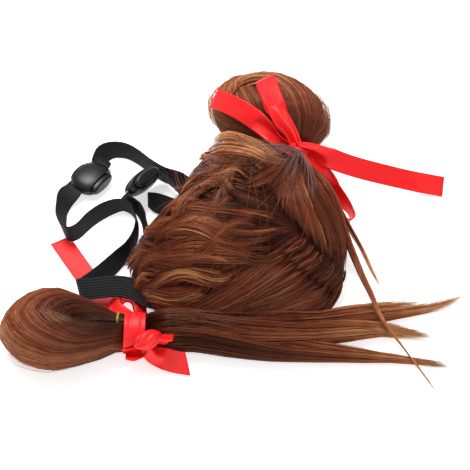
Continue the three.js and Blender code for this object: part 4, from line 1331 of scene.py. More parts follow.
@dataclass(frozen=True)
class HairTail:
    """Free hair ends of one bunch: strands from the tie that part into tufts with thin, frayed ends."""

    name: str
    stem: Rows  # x, y, z, wide, tall
    tufts: tuple[Rows, ...]
    counts: tuple[int, ...]
    tone: float = 0.47
    gold_tip: float = 0.8
    spread: float = 1.0
    steps: int = 12
    under_share: float = 0.5
    under_reach: float = 0.66
    fray: float = 0.03
    torn_fray: float = 0.2
    torn_share: float = 0.4
    part_before: float = 12.0
    clump_size: int = 12
    clumps_least: int = 5
    sides: int = 14
    widths: Span = (0.26, 0.46)
    gap_steps: int = 10
    line_points: int = 60

    def route(self, tuft: Rows) -> Array:
        """Find the way from the tie into one tuft.

        Args:
            tuft: Rows of the tuft.

        Returns:
            Places, with the half sizes of the bundle along them.
        """
        start, level = tuft[0][:2]
        before = []
        for row in self.stem:
            if row[0] < start - self.part_before:
                lean = ((row[0] - self.stem[0][0]) / (start - self.stem[0][0])) ** 1.6
                aside = lean * (level - self.stem[-1][1])
                before.append((row[0], row[1] + aside, row[2], row[3] * (1 - 0.45 * lean), row[4]))
        return even_rows(smooth_rows((*before, *tuft), self.gap_steps), self.line_points)

    def under_hair(self) -> None:
        """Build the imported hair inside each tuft, which thins out well before the ends."""
        shapes, flows = [], []
        angle = full_turn(self.sides)
        for tuft in self.tufts:
            line = self.route(tuft)
            line = line[: round(self.under_reach * len(line))]
            side, up = level_axes(line[:, :3], 0)
            thin = (self.under_share * (1 - np.linspace(0, 0.98, len(line)) ** 3))[:, None, None]
            wide = line[:, 3:4, None] * thin * np.cos(angle)[None, :, None]
            tall = line[:, 4:5, None] * thin * np.sin(angle)[None, :, None]
            rings = line[:, None, :3] + side[:, None] * wide + up[:, None] * tall
            rings[..., 2] = np.maximum(rings[..., 2], FLOOR_CLEAR)
            shapes.append(loft(rings))
            flows.append(flow_rows(angle * 4, line_length(line)))
        stand_for(self.name, "under", join(shapes), UNDER_HAIR, {"flow": np.vstack(flows)})

    def tuft_strands(self, bundle: Strands, tuft: Rows, count: int) -> None:
        """Lay the strands of one tuft.

        Args:
            bundle: Bundle that takes the strands.
            tuft: Rows of the tuft.
            count: Number of strands.
        """
        line = self.route(tuft)
        clumps = max(self.clumps_least, count // self.clump_size)
        clump = CHANCE.integers(0, clumps, count)
        turn = CHANCE.uniform(0, 2 * np.pi, clumps)[clump] + CHANCE.normal(0, 0.25, count)
        out = np.sqrt(CHANCE.uniform(0.2, 1, clumps))[clump] + CHANCE.normal(0, 0.08, count)
        out = np.clip(out, 0, 1.05)
        torn = np.where(CHANCE.uniform(0, 1, clumps) < self.torn_share, self.torn_fray, self.fray)
        end = 1 - np.abs(CHANCE.normal(0, torn))[clump] - np.abs(CHANCE.normal(0, 0.05, count))
        at = np.clip(end, 0.4, 1)[:, None] * np.linspace(0, 1, self.steps) * (len(line) - 1)
        rows = rows_at(line, at)
        spine, wide, tall = rows[..., :3], rows[..., 3], rows[..., 4]
        side, up = level_axes(spine, 1)
        share = at / (len(line) - 1)
        end_spread = self.spread * share**4
        stray = (CHANCE.normal(0, 0.9, clumps)[clump] + CHANCE.normal(0, 0.9, count))[:, None] * end_spread
        lift = CHANCE.normal(0, 0.8, (count, 1)) * end_spread
        beside = wide * (out * np.cos(turn))[:, None] + stray
        above = tall * (out * np.sin(turn))[:, None] + lift
        places = spine + side * beside[..., None] + up * above[..., None]
        tone = self.tone + CHANCE.normal(0, 0.13, clumps)[clump] + CHANCE.normal(0, 0.07, count)
        # Painted light: the upper side of each tuft is lighter and its underside darker
        tone = tone + 0.1 * np.sin(turn) * out
        # Painted shade darkens the strands near the tie
        tones = tone[:, None] + self.gold_tip * share**3 - 0.2 * (1 - share) ** 3
        lean = side * np.cos(turn)[:, None, None] + up * np.sin(turn)[:, None, None]
        bundle.add(places, CHANCE.uniform(*self.widths, count), tones, unit(lean))

    def strands(self) -> None:
        """Build the strands of all tufts."""
        bundle = Strands()
        for tuft, count in zip(self.tufts, self.counts):
            self.tuft_strands(bundle, tuft, count)
        bundle.build(f"{self.name}_strands")

    def build(self) -> None:
        """Build the whole tail."""
        self.under_hair()
        self.strands()


TAILS = (
    HairTail("tail_near", (
        (-51, -76.25, 12.4, 9.6, 9.8), (-42, -74.65, 12.2, 11.4, 11.2), (-27, -73.65, 11.4, 10.4, 11),
        (-2, -77.55, 11, 10.6, 10.6), (23, -80.05, 10.4, 11, 10), (43, -77.05, 9, 14, 8.6),
    ), (
        ((43, -66.05, 7, 5, 5), (68, -60.05, 5.4, 4.4, 4), (89, -55.05, 4, 2.8, 2.6),
         (110, -50.05, 3, 1.5, 1.5), (134, -38.5, 3.4, 0.15, 0.15)),
        ((43, -62.05, 6, 4, 4.5), (66, -54.05, 4.4, 3.4, 3), (82, -50.55, 3.4, 1.8, 1.8),
         (107, -46.55, 2.6, 0.2, 0.2)),
        ((38, -74.05, 8, 7, 6), (60, -70.05, 6.2, 6.4, 5), (78, -67.55, 4.6, 4, 3.2),
         (92, -69.55, 3.6, 2.2, 2), (111, -72.05, 2.6, 0.3, 0.3)),
        ((18, -82.05, 8, 8, 7), (54, -84.05, 5, 5, 4.4), (73, -85.55, 4, 3.2, 2.8),
         (90, -86.55, 3, 1.7, 1.6), (119, -91.05, 1.6, 0.2, 0.2)),
    ), (380, 260, 500, 440)),
    HairTail("tail_far", (), (
        ((36, 38, 31, 1.6, 1.6), (43, 25.5, 32.5, 1.8, 1.8), (49, 15.5, 33.4, 2.2, 2),
         (54.5, 4.95, 30, 2.4, 2.3), (59.5, -7.45, 18, 2.4, 2.3), (64.6, -19.05, 10.4, 2.2, 2.2),
         (69.1, -32.75, 8, 1.9, 2), (73.5, -51.65, 12.4, 1.6, 1.6), (77, -65.35, 12.6, 1.1, 1.1),
         (85.9, -79.65, 9.4, 0.6, 0.6), (94.5, -91.45, 5.4, 0.35, 0.35),
         (107.5, -111.95, 1.0, 0.12, 0.12)),
        ((44, 24, 33, 1.6, 1.6), (52, 9.95, 33, 1.8, 1.8), (60.5, -2.15, 22, 1.8, 1.8),
         (68.9, -12.25, 11, 1.5, 1.5), (75.1, -27.45, 6.6, 1.1, 1.1), (80, -39.85, 5, 0.4, 0.4)),
    ), (120, 80), tone=0.6, gold_tip=0.5, steps=20, spread=0.3),
)
BUN_CURL = HairTail("bun_far_curl", (), (
    ((-6.2, 79, 39, 2.6, 1.4), (-1.8, 87, 42.5, 3.4, 1.6), (9.9, 91, 46, 4, 1.8),
     (20, 88, 46.4, 3.4, 1.6), (27, 81, 45.6, 2, 1)),
    ((-4, 76, 42, 1.6, 1), (1.5, 82.5, 45.4, 2.4, 1.2), (9.5, 85, 48.2, 2.6, 1.2),
     (16.5, 81.5, 48.6, 2, 1), (18.5, 75, 48.4, 1, 0.8)),
), (120, 70), tone=0.84, gold_tip=0.0, steps=13)


@dataclass(frozen=True)
class LooseHairs:
    """Stray hairs over the dome and the straps, and short wisps beside the far tie, coloured grey-mauve as
    painted sheen.
    """

    strays: int = 18
    strap_hairs: int = 9
    wisps: int = 120
    steps: int = 14
    fine: Span = (0.12, 0.17)
    strap_hair_width: float = 0.14
    strap_hair_tone: float = 0.75
    strap_hair_rise: float = 4.0
    wisp_root: Place = (31.5, 27.0, 41.0)
    wisp_widths: Span = (0.17, 0.3)
    wisp_rise: float = 8.0

    def dome_hairs(self, bundle: Strands) -> None:
        """Lay light hairs that cross the dome towards the near rim.

        Args:
            bundle: Bundle that takes the hairs.
        """
        count = self.strays
        share = np.linspace(0, 1, self.steps)[:, None]
        first = np.column_stack([
            CHANCE.uniform(-20, 45, count), CHANCE.uniform(-5, 25, count), np.full(count, 45.0),
        ])
        reach = np.column_stack([
            CHANCE.normal(-10, 26, count), CHANCE.uniform(-75, -30, count), np.full(count, -25.0),
        ])
        bow = CHANCE.normal(0, 4, (count, 1, 3)) * np.sin(np.pi * share)[None]
        ways = DOME.direction(first[:, None] + reach[:, None] * share + bow)
        lift = 3.4 + 1.6 * CHANCE.uniform(0, 1, (count, 1)) * np.sin(np.pi * share[:, 0])[None]
        paths = DOME.point(ways, lift)
        tone = CHANCE.uniform(0.6, 0.84, count)
        bundle.add(paths, CHANCE.uniform(*self.fine, count), tone, DOME.normal(paths))

    def hairs_over_straps(self, bundle: Strands) -> None:
        """Lay a few hairs from the dome over the straps.

        Args:
            bundle: Bundle that takes the hairs.
        """
        count = self.strap_hairs
        share = np.linspace(0, 1, self.steps)[:, None]
        begin = np.column_stack([
            CHANCE.uniform(-34, -22, count), CHANCE.uniform(8, 26, count), np.full(count, 17.0),
        ])
        finish = np.column_stack([
            CHANCE.uniform(-45, -31, count), CHANCE.uniform(50, 64, count), CHANCE.uniform(13, 14.5, count),
        ])
        free = begin[:, None] * (1 - share) + finish[:, None] * share
        free = free + self.strap_hair_rise * UP * np.sin(np.pi * share)
        width, tone = np.full(count, self.strap_hair_width), np.full(count, self.strap_hair_tone)
        bundle.add(free, width, tone, np.tile(UP, (count, 1)))

    def tie_wisps(self) -> None:
        """Build the wisps that fan out from the far tie over the crown, coloured grey-mauve as painted sheen.
        """
        count = self.wisps
        start = np.array(self.wisp_root) + CHANCE.normal(0, 1.6, (count, 3))
        bearing = np.radians(CHANCE.normal(238, 30, count))
        reach = heading(bearing, np.zeros(count)) * CHANCE.uniform(14, 48, count)[:, None]
        share = np.linspace(0, 1, self.steps)[:, None]
        ways = DOME.direction(start[:, None] + reach[:, None] * share + self.wisp_rise * UP * share)
        lift = 7.0 - 3.4 * share[:, 0][None] + CHANCE.uniform(0, 0.9, (count, 1))
        paths = DOME.point(ways, lift)
        bundle = Strands()
        tone = CHANCE.uniform(0.2, 1.0, count)
        bundle.add(paths, CHANCE.uniform(*self.wisp_widths, count), tone, DOME.normal(paths))
        bundle.build("far_tie_wisps", SHEEN_WISPS)

    def build(self) -> None:
        """Build all loose hairs."""
        bundle = Strands()
        self.dome_hairs(bundle)
        self.hairs_over_straps(bundle)
        bundle.build("stray_hairs")
        self.tie_wisps()


@dataclass(frozen=True)
class Route:
    """Way of a flat band; each row: x, y, z, bearing and rise of the way across, share of full width."""

    rows: Rows
    gap_steps: int = 16

    def frames(self, step: float) -> tuple[Array, Array, Array, Array]:
        """Work out the band's axes along its way.

        Args:
            step: Distance between two points.

        Returns:
            Middles, directions across, face directions, and shares of the full width.
        """
        table = np.asarray(self.rows, float)
        across = heading(np.radians(table[:, 3]), np.radians(table[:, 4]))
        share = table[:, 5:6] if table.shape[1] > 5 else np.ones((len(table), 1))
        dense = smooth_rows(np.hstack([table[:, :3], across, share]), self.gap_steps)
        line = even_rows(dense, max(3, round(line_length(dense)[-1] / step) + 1))
        tangent = unit(np.gradient(line[:, :3], axis=0))
        edge = line[:, 3:6] - tangent * np.sum(line[:, 3:6] * tangent, axis=1, keepdims=True)
        edge = unit(edge)
        return line[:, :3], edge, np.cross(tangent, edge), line[:, 6]

    def length(self) -> float:
        """Length of the band along its middle, in millimetres."""
        return float(line_length(smooth_rows(self.rows, self.gap_steps))[-1])


@dataclass(frozen=True)
class ElasticStrap:
    """Flat black elastic with ribs along its length."""

    name: str
    route: Route
    width: float = 12.0
    thick: float = 1.0
    ribs: int = 8
    rib_height: float = 0.3
    edge_from: float = 0.985
    edge_thin: float = 0.45
    across: int = 33
    step: float = 1.8

    def build(self) -> None:
        """Sweep the ribbed cross-section along the strap's way; its length is worked out but not used."""
        middles, edge, face, _ = self.route.frames(self.step)
        place = np.linspace(-1, 1, self.across)
        crest = np.abs(np.cos(np.pi * self.ribs * (place + 1) / 2 + np.pi / 2)) ** 0.7
        rise = self.thick / 2 - self.rib_height * (1 - crest)
        rise = rise * np.where(np.abs(place) > self.edge_from, self.edge_thin, 1.0)
        beside = np.concatenate([place, place[::-1]]) * self.width / 2
        above = np.concatenate([rise, -rise[::-1]])
        rings = middles[:, None] + edge[:, None] * beside[:, None] + face[:, None] * above[:, None]
        rings[..., 2] = np.maximum(rings[..., 2], BAND_CLEAR)
        # Tone follows the rib crests, for the painted shade in the grooves
        tone = np.tile(np.concatenate([crest, crest[::-1]]), len(middles))
        values = {"flow": flow_rows(beside, line_length(middles)), "tone": np.concatenate([tone, [0.5, 0.5]])}
        thing = stand_for(self.name, "elastic", loft(rings), ELASTIC, values)
        self.route.length() * MM


STRAPS = (
    ElasticStrap("chin_strap", Route((
        (-19, 18.95, 7.2, 90, 80), (-26, 34.55, 6.8, 90, 81), (-32.8, 43.45, 6.3, 92, 82),
        (-43.7, 48.45, 6.3, 100, 82), (-52.9, 55.95, 6.3, 108, 82), (-60.4, 63.55, 6.3, 108, 82),
        (-67.8, 68.65, 6.3, 98, 82), (-75.7, 69.45, 6.3, 96, 78), (-81.6, 65.65, 6.2, 120, 50),
        (-82.4, 57.95, 6, 144.8, 0), (-84.1, 55.55, 6, 144.8, 0), (-89.9, 47.35, 6, 144.8, 0),
        (-95.7, 39.15, 6, 144.8, 0), (-97.4, 36.75, 6, 144.8, 0), (-101.4, 29.95, 6, 160, 40),
        (-103.1, 21.95, 6.2, 176, 62), (-102.9, 12.35, 6.2, 182, 64), (-101.1, 4.25, 7.4, 200, 80),
        (-96.8, -0.45, 7.8, 90, 87), (-92.3, 1.95, 7.8, 100, 80), (-87.1, 9.95, 7.2, 112, 76),
        (-80.6, 17.65, 6.4, 105, 78), (-73.3, 22.35, 6.4, 95, 85), (-67.5, 23.75, 6.4, 270, 82),
        (-62.7, 20.95, 6.4, 230, 84), (-60, 15.25, 6.4, 190, 80), (-58.6, 7.35, 6.4, 180, 86),
        (-59.6, -1.95, 6.4, 160, 84), (-63, -11.15, 6.4, 145, 76), (-67.8, -17.65, 6.1, 134, 66),
        (-72.5, -24.15, 6.2, 126, 58), (-77.8, -31.05, 6.4, 118, 50), (-82.6, -36.05, 6, 112, 40),
        (-87.4, -39.45, 5.4, 109, 36), (-89.4, -40.95, 6.7, 109, 36), (-87.2, -41.85, 8.2, 107, 36),
        (-82, -42.65, 9.4, 100, 36), (-76, -42.65, 10.4, 95, 37), (-65.6, -42.25, 11, 90, 37),
        (-55.5, -45.85, 11.2, 82, 37), (-50.6, -48.85, 10.2, 80, 40), (-46.4, -49.05, 9, 85, 44),
        (-42, -47.45, 8, 95, 50), (-30, -38.05, 7, 110, 55),
    ))),
    ElasticStrap("side_strap", Route((
        (-19, 13.95, 8, 280, 70), (-27, 22.95, 8, 280, 70), (-34, 31.95, 8.2, 275, 60),
        (-39, 38.45, 8.8, 272, 54), (-43.5, 44.95, 10, 300, 62), (-48.6, 46.45, 11, 317, 58.2),
        (-51.4, 43.55, 11, 317, 58.2), (-57.5, 36.95, 11, 317, 58.2), (-63.6, 30.35, 11, 317, 58.2),
        (-66, 27.85, 11, 317, 58.2), (-66.5, 26.75, 10.7, 317, 58.2), (-66.1, 25.75, 10.1, 317, 58.2),
        (-63.2, 24.65, 8.4, 317, 66), (-60, 22.35, 7, 325, 78), (-57.8, 19.95, 6.6, 30, 84),
        (-55, 12.95, 6.4, 10, 82), (-53.8, 5.95, 6.4, 5, 82), (-51, -1.05, 6.4, 5, 82),
        (-40, -6.05, 6.4, 90, 82),
    ))),
    ElasticStrap("strap_end", Route((
        (-53, 28.15, 6.4, 345, 78), (-47.7, 25.55, 6.3, 76, 54), (-42.4, 23.55, 5.6, 88, 43),
        (-36.6, 20.95, 5.2, 86, 42), (-26, 13.95, 5.2, 76, 45),
    ))),
)


@dataclass(frozen=True)
class RibbonRun:
    """One loop, tail or tip of satin ribbon; where it is narrowed, it folds along its middle."""

    name: str
    route: Route
    held: Held = Held.GATHERED
    ripple: float = 0.2
    cut: float = 0.0  # slant of the far end, as a share of the width
    width: float = 12.0
    thick: float = 0.5
    across: int = 17
    step: float = 1.6
    fold_depth: float = 0.32
    ripple_length: float = 6.5
    hem_from: float = 0.93
    hem_swell: float = 0.5

    def sweep(self) -> tuple[Shape, Array]:
        """Sweep the flat ribbon along its way.

        Returns:
            The points and the triangles, and the flow at each point.
        """
        middles, edge, face, share = self.route.frames(self.step)
        place = np.linspace(-1, 1, self.across)
        deep = self.fold_depth * self.width * np.sqrt(np.maximum(1 - share**2, 0))
        run = line_length(middles)
        wave = self.ripple * np.sin(run / self.ripple_length)[:, None] * np.sin(2.2 * place + 0.9)[None]
        offset = deep[:, None] * np.cos(np.pi * place)[None] + wave
        near_end = np.clip((run - run[-1] + self.width) / self.width, 0, 1) ** 2
        tangent = unit(np.gradient(middles, axis=0))
        hem = 1 + self.hem_swell * (np.abs(place) > self.hem_from)
        sheet = (
            middles[:, None]
            + edge[:, None] * (share[:, None] * place[None] * self.width / 2)[..., None]
            + face[:, None] * offset[..., None]
            + tangent[:, None] * (near_end[:, None] * place[None] * self.cut * self.width / 2)[..., None]
        )
        half = face[:, None] * (self.thick / 2 * hem)[None, :, None]
        rings = np.concatenate([sheet + half, (sheet - half)[:, ::-1]], axis=1)
        rings[..., 2] = np.maximum(rings[..., 2], BAND_CLEAR)
        both = np.concatenate([place, place[::-1]]) * self.width / 2
        return loft(rings), flow_rows(both, run)

    def build(self) -> None:
        """Build the ribbon; its length is worked out but not used."""
        shape, flow = self.sweep()
        thing = stand_for(self.name, "ribbon", shape, SATIN, {"flow": flow})
        self.route.length() * MM


@dataclass(frozen=True)
class RibbonWrap:
    """Ribbon wound round a tie, with the creases of its turns."""

    name: str
    along: Along
    middle: Place
    radius: float
    span: float
    width: float = 12.0
    thick: float = 0.7
    creases: float = 0.45
    lift: float = 0.5
    lean: float = 0.9
    around: int = 84
    across: int = 21

    def build(self) -> Piece:
        """Sweep the creased ribbon once round the tie.

        Returns:
            The piece.
        """
        turn = full_turn(self.around)
        place = np.linspace(-1, 1, self.across)
        fold = 5.5 * place[None] + 0.7 * np.sin(turn)[:, None]
        crease = self.creases * (np.sin(fold) + 0.5 * np.sin(11 * place[None] + 2 * turn[:, None]))
        reach = self.radius + self.lift + 0.5 * crease * (1 - 0.5 * place**2)[None]
        swing = self.span / 2 * place[None] + self.lean * np.sin(turn)[:, None]
        layers = []
        for side in (self.thick / 2, -self.thick / 2):
            level = np.cos(turn)[:, None] * (reach + side)
            rise = np.sin(turn)[:, None] * (reach + side)
            axes = (swing, level, rise) if self.along is Along.LEFT else (level, swing, rise)
            layers.append(np.stack(axes, axis=-1) + np.array(self.middle))
        rings = np.concatenate([layers[0], layers[1][:, ::-1]], axis=1)
        both = np.concatenate([place, place[::-1]]) * self.width / 2
        flow = flow_rows(both, turn * self.radius, capped=False)
        return stand_for(self.name, "ribbon", loft(rings, ring_shaped=True), SATIN, {"flow": flow})


@dataclass(frozen=True)
class RibbonKnot:
    """Folded knot of ribbon, puffed between two pinched ends, with the ribbon tips that stand out of it."""

    name: str
    middle: Place
    size: Place
    turn: float
    tips: tuple[RibbonRun, ...] = ()
    pleats: int = 5
    pleat_depth: float = 0.24
    twist: float = 2.0
    around: int = 80
    length_steps: int = 40

    def build(self) -> Piece:
        """Loft the folded rings along the knot's long axis and add the tips.

        Returns:
            The piece.
        """
        share = np.linspace(0.02, 0.98, self.length_steps)
        angle = full_turn(self.around)
        puff = np.sin(np.pi * share) ** 0.5
        fold = np.abs(np.cos(self.pleats * (angle[None] + self.twist * (share[:, None] - 0.5)) / 2))
        pleat = 1 - self.pleat_depth * (1 - fold**0.7)
        across = np.cos(angle)[None] * puff[:, None] * pleat * self.size[1]
        rise = np.sin(angle)[None] * puff[:, None] * pleat * self.size[2]
        run = (2 * share - 1) * self.size[0]
        along = np.repeat(run[:, None], self.around, axis=1)
        spin = math.radians(self.turn)
        rings = np.stack([
            self.middle[0] + along * math.cos(spin) - across * math.sin(spin),
            self.middle[1] + along * math.sin(spin) + across * math.cos(spin),
            self.middle[2] + rise,
        ], axis=-1)
        shapes, flows = zip((loft(rings), flow_rows(angle * 4, run)), *(tip.sweep() for tip in self.tips))
        return stand_for(self.name, "ribbon", join(list(shapes)), SATIN, {"flow": np.vstack(flows)})


@dataclass(frozen=True)
class RibbonBow:
    """One bow: a wrap round the tie, its knot, loops and tails."""

    wrap: RibbonWrap
    knot: RibbonKnot
    runs: tuple[RibbonRun, ...]

    def build(self) -> None:
        """Build the whole bow: its wrap, its knot and its runs."""
        wrap = self.wrap.build()
        knot = self.knot.build()
        for run in self.runs:
            run.build()


BOWS = (
    RibbonBow(
        RibbonWrap("bow_far_wrap", Along.AWAY, (32.5, 47.15, 25), 7.4, 9),
        RibbonKnot("bow_far_knot", (34.6, 39.35, 36.9), (6.4, 5, 4.4), -35),
        (
            RibbonRun("bow_far_loop_upper", Route((
                (34, 38.95, 37.2, 20, 10, 0.5), (30.5, 46.95, 40.3, 25, 5, 0.6),
                (26, 54.45, 42.6, 28, 0, 0.8), (21.5, 62.95, 46.4, 30, 0, 1),
                (18.4, 71.45, 49.2, 32, 0, 1), (16, 80.45, 49.9, 35, 0, 1), (15.2, 83.55, 51.5, 35, 0, 1),
                (16, 79.95, 53.4, 35, 0, 1), (18.4, 70.45, 53.4, 32, 0, 1), (21.7, 61.45, 51, 30, 0, 1),
                (26, 52.95, 46.6, 28, 0, 0.85), (31, 45.75, 42.6, 25, 5, 0.6),
                (34.2, 39.55, 38.6, 20, 10, 0.5),
            ))),
            RibbonRun("bow_far_loop_lower", Route((
                (36.4, 37.75, 36.4, 24, 30, 0.4), (41.4, 32.85, 32, 22, 38, 0.6),
                (48.5, 29.85, 25.5, -6, 55, 0.9), (54.8, 25.45, 19, -28, 59, 1),
                (60.8, 20.15, 13.4, -42, 60, 1), (65.2, 15.25, 9.6, -70, 56, 1),
                (65.8, 11.95, 8.4, -76, 54, 1), (64.6, 9.75, 8, -80, 53, 1),
                (60.8, 11.35, 8.4, -80, 53, 1), (57.3, 16.55, 9.5, -78, 53, 1),
                (52.6, 24.05, 11, -75, 53, 0.9), (47.2, 31.05, 14.5, -70, 53, 0.8),
                (42.8, 36.15, 20.4, -60, 52, 0.6), (42.4, 36.55, 27.5, -60, 60, 0.4),
                (39.4, 37.35, 34, -60, 50, 0.35), (36.6, 38.35, 35.6, -60, 40, 0.35),
            ))),
            RibbonRun("bow_far_tail_left", Route((
                (33.6, 39.95, 35.3, 60, 60, 0.5), (24, 48.55, 35, 55, 55, 0.6),
                (17.2, 54.55, 37.6, 48, 50, 0.9), (10.2, 59.95, 40.2, 44, 47, 1),
                (2.2, 66.15, 41.7, 42, 46, 1), (-6, 73.55, 40.6, 40, 45, 1),
                (-14.4, 83.55, 36, 38, 43, 1),
            ))),
            RibbonRun("bow_far_tail_right", Route((
                (35.2, 39.55, 39, 90, 40, 0.5), (43, 36.55, 39, 90, 42, 0.65),
                (52.8, 33.95, 35, 90, 42, 1), (65.7, 34.45, 28, 90, 42, 1), (84, 37.75, 18, 92, 40, 1),
                (102.6, 40.75, 9, 95, 36, 1), (121.4, 40.65, 4.2, 100, 34, 1),
            ))),
        ),
    ),
    RibbonBow(
        RibbonWrap("bow_near_wrap", Along.LEFT, (-56.3, -76.25, 12.4), 10.3, 11.4),
        RibbonKnot("bow_near_knot", (-48.2, -87.85, 21.2), (8.2, 5, 5.4), 28, tips=tuple(
            RibbonRun("bow_near_tip", Route(rows), ripple=0.1, cut=0.3, step=0.8)
            for rows in (
                ((-43.5, -86, 20, 90, 40, 0.5), (-38.5, -86.8, 19.6, 90, 45, 0.45),
                 (-35.4, -86.2, 19.8, 90, 50, 0.3)),
                ((-49.5, -89.6, 14, 80, 50, 0.5), (-55, -89, 10.5, 75, 48, 0.6),
                 (-60.5, -87.6, 8.5, 70, 45, 0.45)),
            )
        )),
        (
            RibbonRun("bow_near_loop_back", Route((
                (-58, -64.45, 9, 180, 60, 0.4), (-62.4, -57.05, 5, 180, 30, 0.6),
                (-67, -50.45, 3.7, 175, 20, 0.65), (-66.4, -45.05, 3.4, 140, 19, 0.6),
                (-62.6, -42.05, 2.4, 100, 20, 0.6), (-58.2, -44.05, 2.4, 55, 20, 0.6),
                (-56, -50.05, 2.8, 15, 22, 0.65), (-55.2, -56.45, 3.8, 0, 22, 0.6),
                (-55.2, -64.45, 9, 0, 60, 0.4),
            ))),
            RibbonRun("bow_near_tail_low", Route((
                (-48.8, -88.85, 17, 80, 45, 0.5), (-45, -90.85, 12, 85, 45, 0.8),
                (-39.5, -91.05, 9, 90, 43, 1), (-33.5, -91.05, 6.2, 90, 42, 1),
                (-27.2, -91.45, 5, 92, 42, 1),
            )), cut=-0.4),
            RibbonRun("bow_near_tail_long", Route((
                (-59.6, -70.85, 0.65, 30, 0, 0.6), (-65, -60.55, 0.65, 29, 0, 0.9),
                (-71, -51.05, 0.65, 28, 0, 1), (-82, -33.55, 0.65, 27, 0, 1),
                (-103, 1.15, 0.65, 21, 0, 1),
            )), Held.LAID, ripple=0.1),
        ),
    ),
)


@dataclass(frozen=True)
class HairElastic:
    """Twisted olive hair elastic beside the near wrap."""

    name: str = "hair_elastic_near"
    middle: Place = (-63.2, -76.25, 12.4)
    radius: float = 10.7
    tube: float = 0.7
    lean: float = 1.7
    sunk: float = 2.0
    bare_at: float = 55.0
    bare_half: float = 24.0
    bare_fade: float = 16.0
    ply_depth: float = 0.22
    twists: int = 26
    around: int = 160
    across: int = 12

    def build(self) -> None:
        """Sweep a two-ply twisted ring that sinks into the hair except where it shows."""
        turn = full_turn(self.around)
        angle = full_turn(self.across)
        twist = np.abs(np.cos(angle[None] + self.twists * turn[:, None]))
        ply = self.tube * (1 - self.ply_depth + self.ply_depth * twist)
        aside = np.abs((np.degrees(turn) - self.bare_at + 180) % 360 - 180)
        sink = self.sunk * np.clip((aside - self.bare_half) / self.bare_fade, 0, 1)
        reach = self.radius - sink[:, None] + ply * np.cos(angle)[None]
        rings = np.stack([
            ply * np.sin(angle)[None] - self.lean * np.sin(turn)[:, None],
            reach * np.cos(turn)[:, None],
            reach * np.sin(turn)[:, None],
        ], axis=-1) + np.array(self.middle)
        stand_for(self.name, "ring", loft(rings, ring_shaped=True), OLIVE_ELASTIC)


@dataclass(frozen=True)
class NetCap:
    """Net cap inside the hair: a thin wall with crossing threads on its inner face."""

    name: str = "cap"
    outer: float = -10.0
    wall_thick: float = 1.6
    around: int = 120
    up: int = 26
    reach_up: float = 0.985
    threads: int = 64
    steps: int = 11
    thread_width: float = 0.7
    thread_climb: float = 1.35
    thread_turn: float = 1.4

    def rings(self, lift: float) -> Array:
        """Rings from the rim to near the top, at a height above the dome."""
        climb = np.linspace(0, np.pi / 2 * self.reach_up, self.up)
        return DOME.point(heading(*np.meshgrid(full_turn(self.around), climb)), lift)

    def build(self) -> None:
        """Build the wall and the threads."""
        inner = self.outer - self.wall_thick
        rings = np.concatenate([self.rings(inner)[::-1], self.rings(self.outer)])
        stand_for(self.name, "net", loft(rings), NET)
        bundle = Strands()
        share = np.linspace(0, 1, self.steps)
        for lean in (1, -1):
            bearing = full_turn(self.threads)[:, None] + lean * self.thread_turn * share[None]
            climb = (0.02 + self.thread_climb * share)[None] * np.ones_like(bearing)
            paths = DOME.point(heading(bearing, climb), inner - 0.15 - 0.2 * (lean > 0))
            tone = np.full(self.threads, 0.3)
            bundle.add(paths, np.full(self.threads, self.thread_width), tone, DOME.normal(paths))
        bundle.build("cap_threads", NET, "net")


